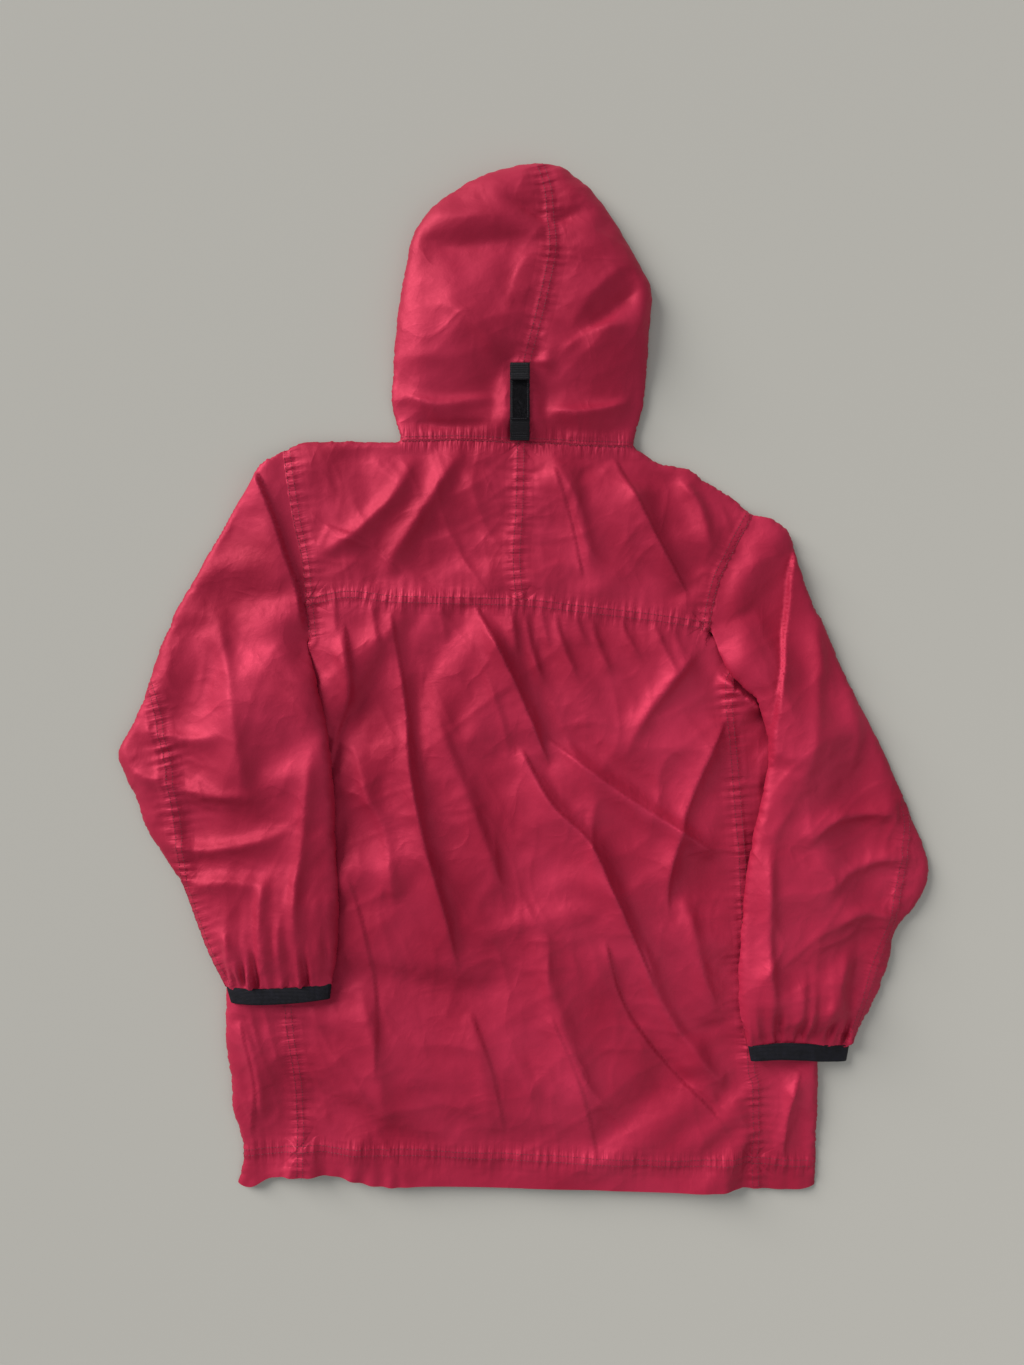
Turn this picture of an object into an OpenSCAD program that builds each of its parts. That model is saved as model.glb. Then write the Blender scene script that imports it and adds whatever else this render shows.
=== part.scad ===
// Hooded windbreaker laid flat on a floor, face down, with its back panel up.
// Millimetres. X runs across the jacket, +Y towards the hood, +Z up from the floor.
// Each cloth layer is a thin solid plate that stands in for the far thinner taffeta.

/* [Cloth] */
// thickness of the plate that stands in for one layer of cloth
cloth = 1.2; // [0.8:0.1:1.4]
// height of the folded body above the floor
body_h = 18; // [18:0.5:19]
// depth of a flattened sleeve, outside to outside
sleeve_h = 10; // [9:0.5:12]
// gap between the body's top layer and the sleeve that lies on it
sleeve_gap = 1.3; // [0.5:0.1:2]

/* [Body] */
// half the width of the body at the side folds
half_w = 304; // [300:1:306]
// distance of each side seam from the middle
side_seam = 237; // [225:1:245]
// height of the channel that holds the hem elastic
hem_channel = 35; // [30:1:45]

/* [Hood] */
// height of the hood's crown above the floor
hood_h = 42; // [38:1:46]
// height of the flat part of the hood by the neck, where the strap lies
hood_shelf = 24; // [24:0.5:26]
// width of the face opening, which lies underneath
face_w = 80; // [60:1:100]

/* [Strap] */
// width of the webbing strap on the hood
strap_w = 20; // [16:1:25]
// length of the flap folded over at the strap's top end
flap_l = 17; // [14:1:22]

/* [Zip] */
// distance from one zip tooth to the next
tooth_pitch = 3; // [3:0.5:5]
// length of the zip slider
slider_l = 12; // [10:1:16]
// length of the zip pull
pull_l = 30; // [20:1:40]

/* [Hidden] */
$fn = 64;
edge_r = body_h / 2;
hem_y = -530;
neck_y = 242;
seat = body_h + sleeve_gap;
zip_top = 176;
zip_bottom = hem_y + 8;
zip_rise = 4;
tape_z = zip_rise + cloth;
slider_y = 158;
pin_z = 1.3;
strap_top = 316;
strap_x = -5;
face_end = 455;
hood_x = -4;
hood_half = 142;

// Plan outlines, anticlockwise or clockwise as they run round the piece.
body_left = [
    [0, hem_y], [-300, hem_y], [-half_w, -440], [-half_w, -60], [-262, -26], [-232, 10],
    [-222, 38], [-227, 80], [-239, 163], [-248, 233], [-227, 243], [-140, 246],
    [-129, neck_y], [0, neck_y]
];
body_right = [
    [0, hem_y], [half_w, hem_y], [half_w, -60], [262, -40], [225, -15], [192, 20],
    [188, 47], [199, 94], [213, 126], [236, 166], [114, 238], [110, neck_y], [0, neck_y]
];
// The seam between the back panel and the yoke.
yoke_seam = [[-310, 80], [-130, 82], [0, 76], [310, 50]];
// The seam down the middle of the hood, with the half to its left.
hood_left_zone = [
    [-8, 200], [-8, 243], [3, 316], [11, 350], [21, 392], [29, 433], [26, 464], [13, 520],
    [13, 560], [-200, 560], [-200, 200]
];
hood_outline = [
    [-129, 243.5], [-138, 281], [-137, 320], [-135, 350], [-131, 382], [-123, 423],
    [-116, 454], [-98, 483], [-70, 504], [-43, 518], [-9, 527], [13, 530], [39, 527],
    [54, 515], [71, 501], [99, 461], [128, 409], [132, 398], [130, 355], [127, 310],
    [124, 281], [112, 243.5]
];
// Sleeve edges, each from the shoulder to the cuff.
left_outer = [
    [-249, 233], [-274, 219], [-285, 199], [-312, 157], [-338, 108], [-360, 70], [-379, 27],
    [-403, -42], [-420, -72], [-415, -99], [-401, -129], [-392, -157], [-372, -187],
    [-352, -219], [-328, -280], [-308, -316]
];
left_inner = [
    [-249, 233], [-239.5, 163], [-230, 121], [-227.5, 80], [-222.5, 38], [-203, -36],
    [-191, -128], [-187, -187], [-185, -256], [-194, -316]
];
left_seam = [
    [-430, 300], [-381, 27], [-384, -24], [-369, -87], [-360, -139], [-355, -180],
    [-345, -222], [-302, -316]
];
right_outer = [
    [238, 169], [255, 163], [274, 149], [283, 119], [297, 80], [329, 10], [371, -75],
    [394, -126], [410, -165], [420, -197], [409, -230], [381, -262], [378, -291],
    [367, -327], [357, -350], [337, -380]
];
right_inner = [
    [238, 169], [213.5, 126], [199.5, 94], [190, 50], [205, -5], [247, -60], [244, -93],
    [236, -141], [225, -198], [219, -255], [216, -308], [218, -348], [226, -380]
];
right_seam = [
    [440, 300], [388, -100], [397, -150], [391, -198], [374, -255], [366, -284],
    [353, -332], [331, -380]
];

// Points moved along X, for the inside of a folded edge.
function moved_x(points, dx) = [for (p = points) [p[0] + dx, p[1]]];

// Points drawn in towards a centre by a distance.
function drawn_in(points, centre, d) =
    [for (p = points) p + (centre - p) * d / norm(centre - p)];

// The same points, last one first.
function reversed(points) = [for (i = [len(points) - 1:-1:0]) points[i]];

// A shape given in X and Z, run along Y from y0 to y1.
module along_y(y0, y1) {
    translate([0, y1, 0])
        rotate([90, 0, 0])
            linear_extrude(y1 - y0)
                children();
}

// A shape given in Y and Z, run along X from x0 to x1.
module along_x(x0, x1) {
    translate([x0, 0, 0])
        rotate([90, 0, 90])
            linear_extrude(x1 - x0)
                children();
}

// A flat plate of an outline, from z0 up to z1.
module plate(z0, z1) {
    translate([0, 0, z0])
        linear_extrude(z1 - z0)
            children();
}

// The flattened tube of the body in X and Z, drawn in all round by a distance.
module tube_section(inset) {
    r = edge_r - inset;
    for (side = [-1, 1])
        translate([side * (half_w - edge_r), edge_r])
            circle(r);
    translate([-half_w + edge_r, inset])
        square([2 * (half_w - edge_r), 2 * r]);
}

// A strip that follows the inside of the body tube, open in front of the zip.
module tube_band(inset, thick) {
    difference() {
        tube_section(inset);
        tube_section(inset + thick);
        translate([-40, -1])
            square([80, body_h / 2 + 1]);
    }
}

// One front panel in X and Z: floor layer, side fold, strip on the back and rise to the zip.
module front_section() {
    translate([-half_w + edge_r, 0])
        square([half_w - edge_r - 34, cloth]);
    translate([-half_w + edge_r, edge_r])
        difference() {
            circle(edge_r);
            circle(edge_r - cloth);
            translate([0, -body_h])
                square(2 * body_h);
        }
    translate([-half_w + edge_r, body_h - cloth])
        square([half_w - edge_r - side_seam, cloth]);
    polygon([
        [-34, 0], [-16, zip_rise], [-8, zip_rise], [-8, tape_z], [-17, tape_z], [-34, cloth]
    ]);
}

// The scoop of the front neckline.
module neck_scoop() {
    translate([0, neck_y + 2])
        circle(62);
}

// The slanted slot of a front pocket, on the wearer's side given by -1 or 1.
module pocket_slot(side) {
    translate([side * 150, -330])
        rotate(side * 14)
            translate([-9, -80])
                square([18, 160]);
}

module front_panel(side, outline) {
    difference() {
        intersection() {
            along_y(hem_y, 250)
                if (side < 0)
                    front_section();
                else
                    mirror([1, 0])
                        front_section();
            plate(-1, body_h + 1)
                polygon(outline);
        }
        plate(-1, zip_rise * 2)
            neck_scoop();
        plate(-1, cloth + 1)
            pocket_slot(side);
        translate([-400, 0, edge_r])
            cube([800, 400, 20]);
    }
}

module front_panel_left() {
    color("firebrick")
        front_panel(-1, body_left);
}

module front_panel_right() {
    color("firebrick")
        front_panel(1, body_right);
}

// Everything above the yoke seam, for cutting the back in two.
module above_yoke_seam() {
    polygon(concat(yoke_seam, [[310, 260], [-310, 260]]));
}

module back_panel() {
    color("brown")
        plate(body_h - cloth, body_h)
            difference() {
                translate([-side_seam, hem_y])
                    square([2 * side_seam, 700]);
                above_yoke_seam();
                difference() {
                    translate([-400, -200])
                        square([800, 500]);
                    polygon(body_left);
                    polygon(body_right);
                }
            }
}

// The turned edge of the yoke along the shoulder, from point a to point b. It stands just
// inside the outline and reaches into the yoke's own layer.
module shoulder_wall(a, b) {
    d = b - a;
    translate([a[0], a[1], cloth])
        rotate([0, 0, atan2(d[1], d[0])])
            translate([1, -cloth - 0.3, 0])
                cube([norm(d) - 2, cloth, body_h - 1.5 * cloth]);
}

module back_yoke_left() {
    color("indianred") {
        plate(body_h - cloth, body_h)
            intersection() {
                polygon(body_left);
                above_yoke_seam();
                translate([-400, 0])
                    square([392, 400]);
            }
        shoulder_wall([-227, 243], [-140, 246]);
    }
}

module back_yoke_right() {
    color("indianred") {
        plate(body_h - cloth, body_h)
            intersection() {
                union() {
                    polygon(body_right);
                    translate([-8, 0])
                        square([20, neck_y]);
                }
                above_yoke_seam();
            }
        shoulder_wall([114, 238], [234, 167.1]);
    }
}

module hem_casing() {
    color("maroon")
        along_y(hem_y + 1, hem_y + hem_channel)
            tube_band(cloth + 1.2, 1);
}

module hem_elastic() {
    color("black")
        along_y(hem_y + 5, hem_y + hem_channel - 5)
            tube_band(cloth + 0.1, 0.9);
}

module pocket_welt(side) {
    color("maroon")
        plate(0, cloth)
            pocket_slot(side);
}

module pocket_welt_left() {
    pocket_welt(-1);
}

module pocket_welt_right() {
    pocket_welt(1);
}

module pocket_bag(side) {
    color("rosybrown")
        plate(cloth, cloth + 1)
            translate([side * 132 - 78, -438])
                square([156, 200]);
}

module pocket_bag_left() {
    pocket_bag(-1);
}

module pocket_bag_right() {
    pocket_bag(1);
}

module neck_tape() {
    color("maroon")
        plate(body_h - cloth - 1, body_h - cloth)
            translate([-108, neck_y - 12])
                square([204, 10]);
}

// A loop of narrow tape that hangs from the neck tape.
module hang_loop() {
    color("black")
        plate(body_h - cloth - 2, body_h - cloth - 1)
            translate([-8, neck_y - 12])
                difference() {
                    translate([-30, -14])
                        square([60, 22]);
                    translate([-24, -8])
                        square([48, 10]);
                }
}

module zip_tape(side) {
    color("dimgray")
        plate(tape_z, tape_z + 0.7)
            mirror([side > 0 ? 1 : 0, 0])
                translate([-20, zip_bottom])
                    square([17, zip_top - zip_bottom]);
}

module zip_tape_left() {
    zip_tape(-1);
}

module zip_tape_right() {
    zip_tape(1);
}

// A row of teeth along one tape, drawn as one toothed strip.
module zip_teeth(side) {
    count = floor((zip_top - zip_bottom - 24) / tooth_pitch);
    start = zip_bottom + 12;
    teeth = [
        for (i = [0:count - 1])
            for (p = [[-1.2, 0.1], [-0.6, 0.1], [-0.6, 0.5], [-1.2, 0.5]])
                [p[0], start + (i + p[1]) * tooth_pitch]
    ];
    color("gray")
        plate(tape_z - 0.8, tape_z + 1.4)
            mirror([side > 0 ? 1 : 0, 0])
                polygon(concat([[-3, start]], teeth, [[-3, start + count * tooth_pitch]]));
}

module zip_teeth_left() {
    zip_teeth(-1);
}

module zip_teeth_right() {
    zip_teeth(1);
}

// The two stops above the teeth.
module zip_stops() {
    color("silver")
        for (side = [-1, 1])
            translate([side * 1.9 - 1.1, zip_top - 8, tape_z - 0.6])
                cube([2.2, 5, 2]);
}

// The box at the bottom that joins the two tapes.
module zip_box() {
    color("silver")
        translate([-3, zip_bottom + 1, tape_z - 1])
            cube([6, 9, 2.6]);
}

// Two plates joined by a thin web between the teeth, and the bail for the pull.
module zip_slider() {
    low_z = tape_z - 2.4;
    color("silver") {
        translate([-5.5, slider_y - slider_l / 2, low_z])
            cube([11, slider_l, 0.9]);
        translate([-5.5, slider_y - slider_l / 2, tape_z + 2.1])
            cube([11, slider_l, 0.9]);
        translate([-0.25, slider_y + slider_l / 2 - 4, low_z + 0.5])
            cube([0.5, 4, 4.5]);
        translate([-4.5, slider_y, pin_z])
            rotate([0, 90, 0])
                cylinder(h = 9, r = 0.5);
        for (x = [-4.5, 3.7])
            translate([x, slider_y - 0.9, pin_z - 0.5])
                cube([0.8, 1.8, low_z - pin_z + 0.8]);
    }
}

// The pull: an eye round the slider's pin, and a flat tongue.
module zip_pull() {
    color("silver")
        difference() {
            union() {
                translate([-3.2, slider_y, pin_z])
                    rotate([0, 90, 0])
                        cylinder(h = 6.4, r = 1);
                translate([-3.2, slider_y - pull_l, pin_z - 0.7])
                    cube([6.4, pull_l, 1.4]);
            }
            translate([-4, slider_y, pin_z])
                rotate([0, 90, 0])
                    cylinder(h = 8, r = 0.58);
            translate([-1.8, slider_y - pull_l + 3, -1])
                cube([3.6, pull_l - 14, 5]);
        }
}

// The arch of the hood in X and Z, drawn in by a distance.
module hood_arch(inset) {
    flat = 50;
    a = hood_half - flat - inset;
    b = hood_h - inset;
    arc_right = [for (t = [0:10:90]) [hood_x + flat + a * cos(t), b * sin(t)]];
    arc_left = [for (t = [90:10:180]) [hood_x - flat + a * cos(t), b * sin(t)]];
    intersection() {
        polygon(concat(arc_right, arc_left));
        translate([-300, inset])
            square([600, 100]);
    }
}

// The side view of the hood in Y and Z: a low shelf by the neck, then the crown.
module hood_profile(inset) {
    top = hood_h - inset;
    rear = 531 - inset;
    crown = [for (t = [0:10:90]) [rear - 110 + 110 * cos(t), top * sin(t)]];
    polygon(concat(
        [[200, 0], [rear, 0]],
        crown,
        [[392 + inset, top], [345 + inset, hood_shelf - inset], [200, hood_shelf - inset]]
    ));
}

module hood_solid(inset, outline) {
    intersection() {
        along_y(200, 560)
            hood_arch(inset);
        along_x(-200, 200)
            hood_profile(inset);
        plate(-1, 60)
            polygon(outline);
    }
}

// The face opening, widened all round by a distance.
module face_opening(grow) {
    r = face_w / 2 + grow;
    translate([-8, face_end - face_w / 2])
        circle(r);
    translate([-8 - r, 200])
        square([2 * r, face_end - face_w / 2 - 200]);
}

// The whole hood as one skin: open at the neck and at the face.
module hood_skin() {
    difference() {
        hood_solid(0, hood_outline);
        hood_solid(cloth, drawn_in(hood_outline, [hood_x, 370], cloth * 1.3));
        translate([-112, 240, cloth])
            cube([206, 24, hood_shelf - 2 * cloth]);
        plate(-1, cloth + 0.5)
            face_opening(0);
    }
}

module hood_panel_left() {
    color("firebrick")
        intersection() {
            hood_skin();
            plate(-1, 60)
                polygon(hood_left_zone);
        }
}

module hood_panel_right() {
    color("brown")
        difference() {
            hood_skin();
            plate(-1, 60)
                polygon(hood_left_zone);
        }
}

// The turned hem round the face opening, inside the hood.
module hood_hem() {
    color("maroon")
        plate(cloth, cloth + 0.8)
            difference() {
                face_opening(14);
                face_opening(0.5);
                translate([-200, 100])
                    square([400, 146]);
            }
}

module strap_webbing() {
    color("black")
        plate(hood_shelf, hood_shelf + 1.2)
            translate([strap_x - strap_w / 2, 244])
                square([strap_w, strap_top - 244]);
}

module loop_patch() {
    color("dimgray")
        plate(hood_shelf + 1.2, hood_shelf + 2.4)
            translate([strap_x - strap_w / 2 + 1, 260])
                square([strap_w - 2, 50]);
}

// The short flap folded over at the strap's top end.
module strap_tab() {
    color("black")
        plate(hood_shelf + 3.6, hood_shelf + 4.8)
            translate([strap_x - strap_w / 2, strap_top - flap_l])
                square([strap_w, flap_l]);
}

module hook_patch() {
    color("dimgray")
        plate(hood_shelf + 2.8, hood_shelf + 3.6)
            translate([strap_x - strap_w / 2 + 2, strap_top - flap_l + 2])
                square([strap_w - 4, flap_l - 4]);
}

// A sleeve in X and Z between two heights above its seat: flat on the body, sloping to the
// floor beyond the body's edge. Drawn for the left sleeve.
module sleeve_section(low, high) {
    polygon([
        [-440, low], [-352, low], [-half_w, seat + low], [-150, seat + low],
        [-150, seat + high], [-half_w, seat + high], [-352, high], [-440, high]
    ]);
}

// The same, for the side given by -1 or 1, run along the whole sleeve.
module sleeve_layer(side, low, high) {
    along_y(-400, 300)
        if (side < 0)
            sleeve_section(low, high);
        else
            mirror([1, 0])
                sleeve_section(low, high);
}

// A flattened sleeve as a skin with both ends open. The inner edge is the armhole seam as
// far down as armhole_y, and a fold below it.
module sleeve_skin(side, outer, inner, wall, armhole_y) {
    last = outer[len(outer) - 1];
    ends = [
        [last[0] - side * wall, last[1] - 30],
        [inner[len(inner) - 1][0] + side * wall, last[1] - 30]
    ];
    cavity_outer = moved_x(outer, -side * wall);
    cavity_inner = [
        for (p = inner)
            [p[0] + side * (p[1] > armhole_y ? -4 : wall), p[1]]
    ];
    difference() {
        intersection() {
            sleeve_layer(side, 0, sleeve_h);
            plate(-1, 60)
                polygon(concat(outer, reversed(inner)));
        }
        intersection() {
            sleeve_layer(side, wall, sleeve_h - wall);
            plate(-1, 60)
                polygon(concat(cavity_outer, ends, reversed(cavity_inner)));
        }
    }
}

// The space above a sleeve's mid height, inside of its outer seam.
module upper_zone(side, seam) {
    last = seam[len(seam) - 1];
    intersection() {
        sleeve_layer(side, sleeve_h / 2, 60);
        plate(-1, 99)
            polygon(concat(seam, [[side * 100, last[1]], [side * 100, 300]]));
    }
}

module sleeve_upper_left() {
    color("firebrick")
        intersection() {
            sleeve_skin(-1, left_outer, left_inner, cloth, 30);
            upper_zone(-1, left_seam);
        }
}

module sleeve_under_left() {
    color("brown")
        difference() {
            sleeve_skin(-1, left_outer, left_inner, cloth, 30);
            upper_zone(-1, left_seam);
        }
}

module cuff_left() {
    color("black")
        sleeve_skin(-1, [[-307, -316], [-301, -332]], [[-195, -316], [-196, -330]], 1.6, 0);
}

module sleeve_upper_right() {
    color("firebrick")
        intersection() {
            sleeve_skin(1, right_outer, right_inner, cloth, 20);
            upper_zone(1, right_seam);
        }
}

module sleeve_under_right() {
    color("brown")
        difference() {
            sleeve_skin(1, right_outer, right_inner, cloth, 20);
            upper_zone(1, right_seam);
        }
}

module cuff_right() {
    color("black")
        sleeve_skin(1, [[337, -380], [334, -394]], [[226, -380], [230, -393]], 1.6, 0);
}

front_panel_left();
front_panel_right();
back_panel();
back_yoke_left();
back_yoke_right();
hem_casing();
hem_elastic();
pocket_welt_left();
pocket_welt_right();
pocket_bag_left();
pocket_bag_right();
neck_tape();
hang_loop();
zip_tape_left();
zip_tape_right();
zip_teeth_left();
zip_teeth_right();
zip_stops();
zip_box();
zip_slider();
zip_pull();
hood_panel_left();
hood_panel_right();
hood_hem();
strap_webbing();
loop_patch();
strap_tab();
hook_patch();
sleeve_upper_left();
sleeve_under_left();
cuff_left();
sleeve_upper_right();
sleeve_under_right();
cuff_right();
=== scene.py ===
import math
import random

import bmesh
import bpy
import numpy as np
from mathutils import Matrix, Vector, geometry, noise
from mathutils.bvhtree import BVHTree


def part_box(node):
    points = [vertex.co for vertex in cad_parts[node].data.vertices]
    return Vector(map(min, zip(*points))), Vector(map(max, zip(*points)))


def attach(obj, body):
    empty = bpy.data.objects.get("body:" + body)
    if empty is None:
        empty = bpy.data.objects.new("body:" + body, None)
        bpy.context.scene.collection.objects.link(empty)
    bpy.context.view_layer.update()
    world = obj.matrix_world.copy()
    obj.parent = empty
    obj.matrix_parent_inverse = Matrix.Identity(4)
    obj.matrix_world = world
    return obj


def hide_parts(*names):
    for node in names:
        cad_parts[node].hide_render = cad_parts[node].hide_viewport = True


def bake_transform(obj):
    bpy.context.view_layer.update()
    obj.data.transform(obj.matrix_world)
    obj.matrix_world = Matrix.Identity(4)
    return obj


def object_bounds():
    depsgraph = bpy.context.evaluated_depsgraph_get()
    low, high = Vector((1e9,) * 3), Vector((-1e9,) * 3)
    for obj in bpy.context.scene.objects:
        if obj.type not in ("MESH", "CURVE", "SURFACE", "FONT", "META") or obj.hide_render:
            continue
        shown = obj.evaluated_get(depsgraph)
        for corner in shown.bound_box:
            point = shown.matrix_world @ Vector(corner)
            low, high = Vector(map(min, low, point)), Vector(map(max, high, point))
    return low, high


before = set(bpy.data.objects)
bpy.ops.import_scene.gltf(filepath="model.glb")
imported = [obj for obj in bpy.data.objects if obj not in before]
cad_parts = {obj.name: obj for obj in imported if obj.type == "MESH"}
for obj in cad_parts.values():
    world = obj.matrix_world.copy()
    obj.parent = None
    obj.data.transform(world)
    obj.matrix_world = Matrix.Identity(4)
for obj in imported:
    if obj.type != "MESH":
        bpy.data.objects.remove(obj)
cad_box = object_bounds()
MM = 0.001

# ---- Camera, floor and light -------------------------------------------------------------
# A hand-held camera looks straight down at the jacket from about a metre, and soft light
# comes from beyond the hood.

middle = (cad_box[0] + cad_box[1]) / 2
camera_data = bpy.data.cameras.new("camera")
camera_data.sensor_width = 36
camera_data.lens = 26
camera = bpy.data.objects.new("camera", camera_data)
camera.location = (middle.x - 0.013, middle.y - 0.006, 1.022)
bpy.context.collection.objects.link(camera)
bpy.context.scene.camera = camera


def add_light(kind, name, place, target, power, **settings):
    """A light that shines from a place towards a target."""
    data = bpy.data.lights.new(name, kind)
    data.energy = power
    for key, value in settings.items():
        setattr(data, key, value)
    light = bpy.data.objects.new(name, data)
    light.location = place
    light.rotation_euler = (Vector(target) - Vector(place)).to_track_quat("-Z", "Y").to_euler()
    bpy.context.collection.objects.link(light)


add_light("SUN", "key", (-2.3, 1.85, 1.3), (0, 0.1, 0), 3.7, angle=math.radians(36))
add_light("AREA", "fill", (1.6, -1.4, 1.9), (0, 0, 0), 8, size=1.8)
world = bpy.data.worlds.new("studio")
world.use_nodes = True
world.node_tree.nodes["Background"].inputs["Color"].default_value = (0.9, 0.95, 1, 1)
world.node_tree.nodes["Background"].inputs["Strength"].default_value = 0.4
bpy.context.scene.world = world
bpy.context.scene.view_settings.view_transform = "Standard"


def linear(code):
    """A hex colour as linear red, green, blue and alpha."""
    values = [int(code[i:i + 2], 16) / 255 for i in (1, 3, 5)]
    return [v / 12.92 if v <= 0.04045 else ((v + 0.055) / 1.055) ** 2.4 for v in values] + [1]


def new_material(name):
    """An empty material and its Principled shader."""
    material = bpy.data.materials.new(name)
    material.use_nodes = True
    return material, material.node_tree.nodes["Principled BSDF"]


floor_material, floor_shader = new_material("pale_floor")
floor_shader.inputs["Base Color"].default_value = linear("#b9b5ac")
floor_shader.inputs["Roughness"].default_value = 0.9
bpy.ops.mesh.primitive_plane_add(size=14, location=(0, 0, cad_box[0].z - 0.0006))
floor = bpy.context.object
floor.name = "floor"
floor.data.materials.append(floor_material)

# ---- Taffeta -----------------------------------------------------------------------------
# Thin, tightly woven nylon taffeta with a water-repellent finish: dyed burgundy, with a soft
# satin shine, slight cloudiness in the dye and fine pressed-in creases.


def add_node(material, kind, values=None, links=None, **settings):
    """Adds a shader node with its settings, input values and links."""
    node = material.node_tree.nodes.new(kind)
    for key, value in settings.items():
        setattr(node, key, value)
    for key, value in (values or {}).items():
        node.inputs[key].default_value = value
    for key, socket in (links or {}).items():
        material.node_tree.links.new(socket, node.inputs[key])
    return node


def linked(material, shader, **links):
    """Links sockets to the shader's inputs, named with _ for a space."""
    for key, socket in links.items():
        material.node_tree.links.new(socket, shader.inputs[key.replace("_", " ")])


taffeta, cloth_shader = new_material("burgundy_nylon_taffeta")
place = add_node(taffeta, "ShaderNodeTexCoord").outputs["Object"]
clouds = add_node(taffeta, "ShaderNodeTexNoise", {"Scale": 9.0, "Detail": 3.0}, {"Vector": place})
shade = add_node(taffeta, "ShaderNodeValToRGB", links={"Fac": clouds.outputs["Fac"]})
shade.color_ramp.elements[0].position = 0.3
shade.color_ramp.elements[0].color = linear("#9c1b36")
shade.color_ramp.elements[1].position = 0.72
shade.color_ramp.elements[1].color = linear("#b82b49")
fine = add_node(taffeta, "ShaderNodeTexNoise", {"Scale": 260.0, "Detail": 2.0}, {"Vector": place})
crinkle = add_node(taffeta, "ShaderNodeTexNoise",
                   {"Scale": 55.0, "Detail": 5.0, "Roughness": 0.6, "Distortion": 0.4}, {"Vector": place})
# The threads are drawn 0.65 and 0.75 mm apart, about three times the real spacing, to show at all.
warp = add_node(taffeta, "ShaderNodeTexWave", {"Scale": 480.0, "Distortion": 0.6}, {"Vector": place},
                bands_direction="X")
weft = add_node(taffeta, "ShaderNodeTexWave", {"Scale": 420.0, "Distortion": 0.6}, {"Vector": place},
                bands_direction="Y")
weave = add_node(taffeta, "ShaderNodeMath", links={0: warp.outputs["Fac"], 1: weft.outputs["Fac"]},
                 operation="MULTIPLY")
# Ridged noise stands for the crisp little creases, 1 to 5 cm apart, that crumpled taffeta keeps.
crumple = add_node(taffeta, "ShaderNodeTexNoise",
                   {"Scale": 16.0, "Detail": 3.0, "Roughness": 0.5, "Offset": 0.9, "Gain": 1.4,
                    "Distortion": 0.5}, {"Vector": place}, noise_type="RIDGED_MULTIFRACTAL")
crumple_bump = add_node(taffeta, "ShaderNodeBump", {"Strength": 0.6, "Distance": 0.0014},
                        {"Height": crumple.outputs["Fac"]})
crinkle_bump = add_node(taffeta, "ShaderNodeBump", {"Strength": 0.6, "Distance": 0.001},
                        {"Height": crinkle.outputs["Fac"], "Normal": crumple_bump.outputs["Normal"]})
# The seam map holds millimetres along the nearest seam and away from it: fine puckers follow it.
seam_map = add_node(taffeta, "ShaderNodeUVMap", uv_map="seam")
along_across = add_node(taffeta, "ShaderNodeSeparateXYZ", links={"Vector": seam_map.outputs["UV"]})
pull = add_node(taffeta, "ShaderNodeMapping", links={"Vector": seam_map.outputs["UV"]})
pull.inputs["Scale"].default_value = (0.26, 0.045, 1)
pucker = add_node(taffeta, "ShaderNodeTexNoise", {"Scale": 1.0, "Detail": 1.0},
                  {"Vector": pull.outputs["Vector"]})
near_seam = add_node(taffeta, "ShaderNodeMapRange",
                     {"From Min": 4.0, "From Max": 15.0, "To Min": 1.0, "To Max": 0.0},
                     {"Value": along_across.outputs["Y"]})
drawn_up = add_node(taffeta, "ShaderNodeMath", operation="MULTIPLY",
                    links={0: pucker.outputs["Fac"], 1: near_seam.outputs["Result"]})
pucker_bump = add_node(taffeta, "ShaderNodeBump", {"Strength": 1.0, "Distance": 0.0016},
                       {"Height": drawn_up.outputs[0], "Normal": crinkle_bump.outputs["Normal"]})
weave_bump = add_node(taffeta, "ShaderNodeBump", {"Strength": 0.25, "Distance": 0.0001},
                      {"Height": weave.outputs[0], "Normal": pucker_bump.outputs["Normal"]})
sheen_spread = add_node(taffeta, "ShaderNodeMapRange", {"To Min": 0.5, "To Max": 0.62},
                        {"Value": fine.outputs["Fac"]})
linked(taffeta, cloth_shader, Base_Color=shade.outputs["Color"], Roughness=sheen_spread.outputs["Result"],
       Normal=weave_bump.outputs["Normal"])
cloth_shader.inputs["Metallic"].default_value = 0.26
cloth_shader.inputs["Specular IOR Level"].default_value = 0.4
cloth_shader.inputs["Specular Tint"].default_value = linear("#ffaeba")
cloth_shader.inputs["Sheen Weight"].default_value = 0.08
cloth_shader.inputs["Sheen Roughness"].default_value = 0.35
cloth_shader.inputs["Sheen Tint"].default_value = linear("#f06a86")

# ---- The jacket's skin: outlines, seams and folds ----------------------------------------
# All panels are cut as flat outlines, sewn edge to edge into one skin, given the jacket's
# folds, and then simulated as one cloth, so that every seam pulls on both of its panels.
# Lengths in this section are in millimetres.

STEP = 5.0
ROW = 0.866  # height of a triangle whose sides are all 1
rng = random.Random(7)


def smooth_line(points, step=STEP):
    """Evenly spaced points on a smooth curve through the given ones."""
    p = np.array(points, float)
    if len(p) > 2:
        ends = np.vstack([2 * p[0] - p[1], p, 2 * p[-1] - p[-2]])
        t = np.linspace(0, 1, 12, endpoint=False)[:, None]
        dense = []
        for a, b, c, d in zip(ends, ends[1:], ends[2:], ends[3:]):
            dense.append(0.5 * (2 * b + (c - a) * t + (2 * a - 5 * b + 4 * c - d) * t ** 2
                                + (3 * b - a - 3 * c + d) * t ** 3))
        p = np.vstack(dense + [p[-1:]])
    along = np.concatenate([[0], np.cumsum(np.linalg.norm(np.diff(p, axis=0), axis=1))])
    places = np.linspace(0, along[-1], max(2, round(along[-1] / step) + 1))
    return np.column_stack([np.interp(places, along, p[:, k]) for k in (0, 1)])


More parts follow.
